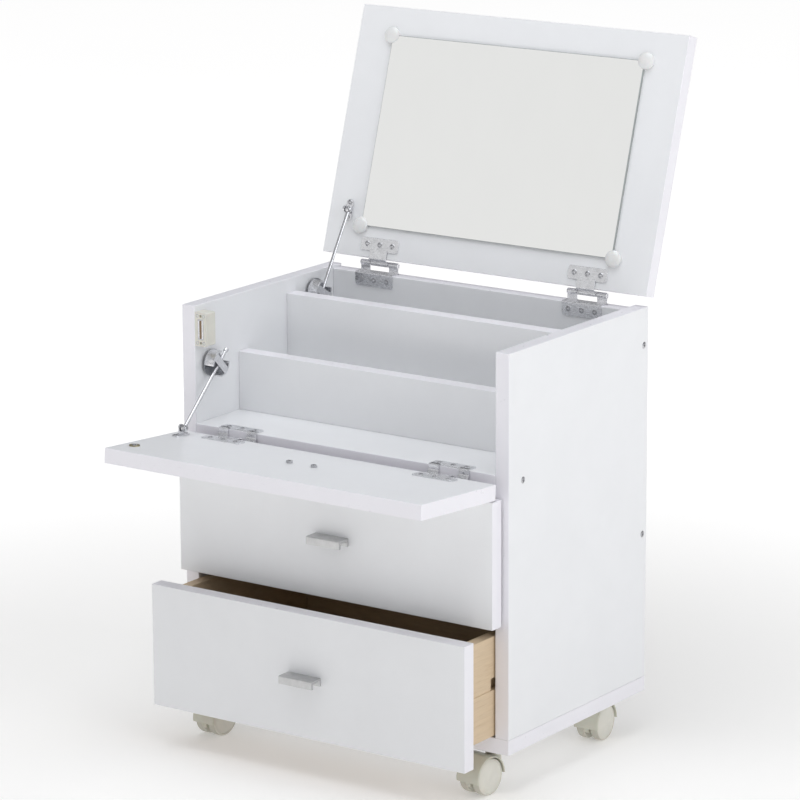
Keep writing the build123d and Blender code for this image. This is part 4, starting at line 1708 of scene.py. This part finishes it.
@dataclass
class Studio:
    """A pale floor, soft lights, a white room and the camera."""

    lights: tuple[SoftLight, ...] = (
        SoftLight("key_right", (3.2, -0.6, 1.7), 2.2, 28.0, (0.94, 0.965, 1.0)),
        SoftLight("top", (0.1, -0.6, 3.0), 2.2, 36.0, (0.95, 0.97, 1.0)),
        SoftLight("white_card", (-2.3, -3.15, 1.55), 1.5, 3.4, (1.0, 1.0, 0.985)),
    )
    middle: tuple[float, float, float] = (0.0, 0.0, 0.35)
    camera_at: tuple[float, float, float] = (2.2832, -3.2473, 1.3409)
    look_at: tuple[float, float, float] = (-0.01455, 0.049, 0.36246)
    roll: float = radians(-0.224)
    lens: float = 181.0
    shift: tuple[float, float] = (-0.0196, -0.0168)
    room: Colour = (0.965, 0.975, 1.0)
    room_strength: float = 0.37
    floor_size: float = 30.0
    paper: tuple[Colour, Colour] = ((0.88, 0.865, 0.84), (0.9, 0.885, 0.86))
    # painted glow of the floor, near and far from the table; the weaker glow near it is a painted
    # shadow pool
    painted_glow_strengths: tuple[float, float] = (0.24, 0.64)
    painted_shadow_reach: tuple[float, float] = (0.35, 1.6)

    def floor(self) -> None:
        """Lay the paper floor with a painted glow: it emits light, weaker near the table as a
        painted shadow pool round it, stronger away from it.
        """
        bm = bmesh.new()
        bmesh.ops.create_grid(bm, x_segments=12, y_segments=12, size=self.floor_size / 2)
        mesh = bpy.data.meshes.new("studio_floor")
        bm.to_mesh(mesh)
        bm.free()
        graph = Graph("studio_paper")
        cloud = graph.noise(0.8, detail=2.0)
        stops = [(0.3, self.paper[0]), (0.7, self.paper[1])]
        graph.feed(graph.ramp(cloud, stops), "Base Color")
        graph.constants(Roughness=0.9, Emission_Color=(1.0, 1.0, 1.0, 1.0))
        # painted glow and painted shadow: the floor's emission grows with distance from the table,
        # leaving a painted shadow pool round it
        away = graph.tree.nodes.new("ShaderNodeVectorMath")
        away.operation = "LENGTH"
        glow = graph.tree.nodes.new("ShaderNodeMapRange")
        glow.interpolation_type = "SMOOTHSTEP"
        for side, reach, strength in zip(("Min", "Max"), self.painted_shadow_reach, self.painted_glow_strengths):
            glow.inputs[f"From {side}"].default_value = reach
            glow.inputs[f"To {side}"].default_value = strength
        graph.tree.links.new(graph.place, away.inputs[0])
        graph.tree.links.new(away.outputs["Value"], glow.inputs["Value"])
        graph.feed(glow.outputs["Result"], "Emission Strength")
        mesh.materials.append(graph.material)
        floor = bpy.data.objects.new("studio_floor", mesh)
        bpy.context.scene.collection.objects.link(floor)

    def camera(self) -> None:
        """Stand the camera up."""
        data = bpy.data.cameras.new("camera")
        data.lens = self.lens
        data.sensor_width = 36.0
        data.shift_x, data.shift_y = self.shift
        data.clip_end = 60.0
        camera = bpy.data.objects.new("camera", data)
        aim = Vector(self.look_at) - Vector(self.camera_at)
        turn = aim.to_track_quat("-Z", "Y").to_matrix().to_4x4()
        roll = Matrix.Rotation(self.roll, 4, "Z")
        camera.matrix_world = Matrix.Translation(self.camera_at) @ turn @ roll
        bpy.context.scene.collection.objects.link(camera)
        bpy.context.scene.camera = camera

    def world(self) -> None:
        """Light the room evenly."""
        world = bpy.data.worlds.new("room")
        world.use_nodes = True
        background = world.node_tree.nodes["Background"]
        background.inputs["Color"].default_value = (*self.room, 1.0)
        background.inputs["Strength"].default_value = self.room_strength
        bpy.context.scene.world = world

    def build(self) -> None:
        """Set the stage."""
        self.floor()
        self.world()
        for light in self.lights:
            light.hang(Vector(self.middle))
        self.camera()
        bpy.context.scene.view_settings.view_transform = "Standard"


# ---------------------------------------------------------------- assembly


@dataclass
class Vanity:
    """The whole table."""

    shop: Shop
    lid_lean: float = radians(17.2)
    lid_gap: float = 4.6 * MM
    lid_offset: float = 5.6 * MM
    flap_rise: float = radians(3.9)
    flap_gap: float = 5.4 * MM
    flap_offset: float = 3.9 * MM

    def face_at(self, hinge: str, step: Vector, normal: Vector) -> Matrix:
        """Give a board's face from its hinge.

        Args:
            hinge: The hinge's joint.
            step: From the hinge's axis to the face's edge.
            normal: The face's outward normal.

        Returns:
            Its placement, with the origin in the middle of that edge.
        """
        origin = self.shop.pivot(hinge) + step
        origin.x = 0.0
        return frame_of(origin, X_AXIS, normal)

    def lid_face(self) -> Matrix:
        """Give the lid's inner face: the origin on its hinge edge, Y up it, Z out of it."""
        up = Vector((0, sin(self.lid_lean), cos(self.lid_lean)))
        normal = Vector((0, -cos(self.lid_lean), sin(self.lid_lean)))
        return self.face_at("lid_hinge", up * self.lid_gap + normal * self.lid_offset, normal)

    def flap_face(self) -> Matrix:
        """Give the flap's inner face: the origin on its hinge edge, Y to the hinge, Z up."""
        out = Vector((0, -cos(self.flap_rise), sin(self.flap_rise)))
        normal = Vector((0, sin(self.flap_rise), cos(self.flap_rise)))
        return self.face_at("flap_hinge", out * self.flap_gap + normal * self.flap_offset, normal)

    def carried_over(self) -> None:
        """Dress the CAD nodes whose plain shape is right and which stay."""
        palette = self.shop.palette
        dress = {"caster_plates": palette.plate, "drawer_runners": palette.pine_inward}
        for node, finish in dress.items():
            for holder in self.shop.nodes[node].material_slots:
                holder.material = finish
            log.info("%s: dressed in %s", node, finish.name)

    def build(self) -> None:
        """Build every sub-assembly."""
        lid_face, flap_face = self.lid_face(), self.flap_face()
        Cabinet(self.shop).build()
        for body in ("upper_drawer", "lower_drawer"):
            Drawer(self.shop, body).build()
        Pull(self.shop).build(flap_face)
        Hinges(self.shop, lid_face, flap_face).build()
        MirrorSet(self.shop, lid_face).build()
        Stay(self.shop, "lid", lid_face).build()
        Stay(self.shop, "flap", flap_face).build()
        StayStuds(self.shop).build()
        Catch(self.shop, flap_face).build()
        for corner in ("front_left", "front_right", "rear_left", "rear_right"):
            Caster(self.shop, corner).build()
        ScrewKit(self.shop).build()
        self.carried_over()


def main() -> None:
    """Load the frame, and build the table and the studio."""
    logging.basicConfig(level=logging.INFO, format="%(name)s: %(message)s")
    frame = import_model()
    Vanity(Shop(frame, Palette())).build()
    Studio().build()
    bpy.context.view_layer.update()


if __name__ == "__main__":
    main()
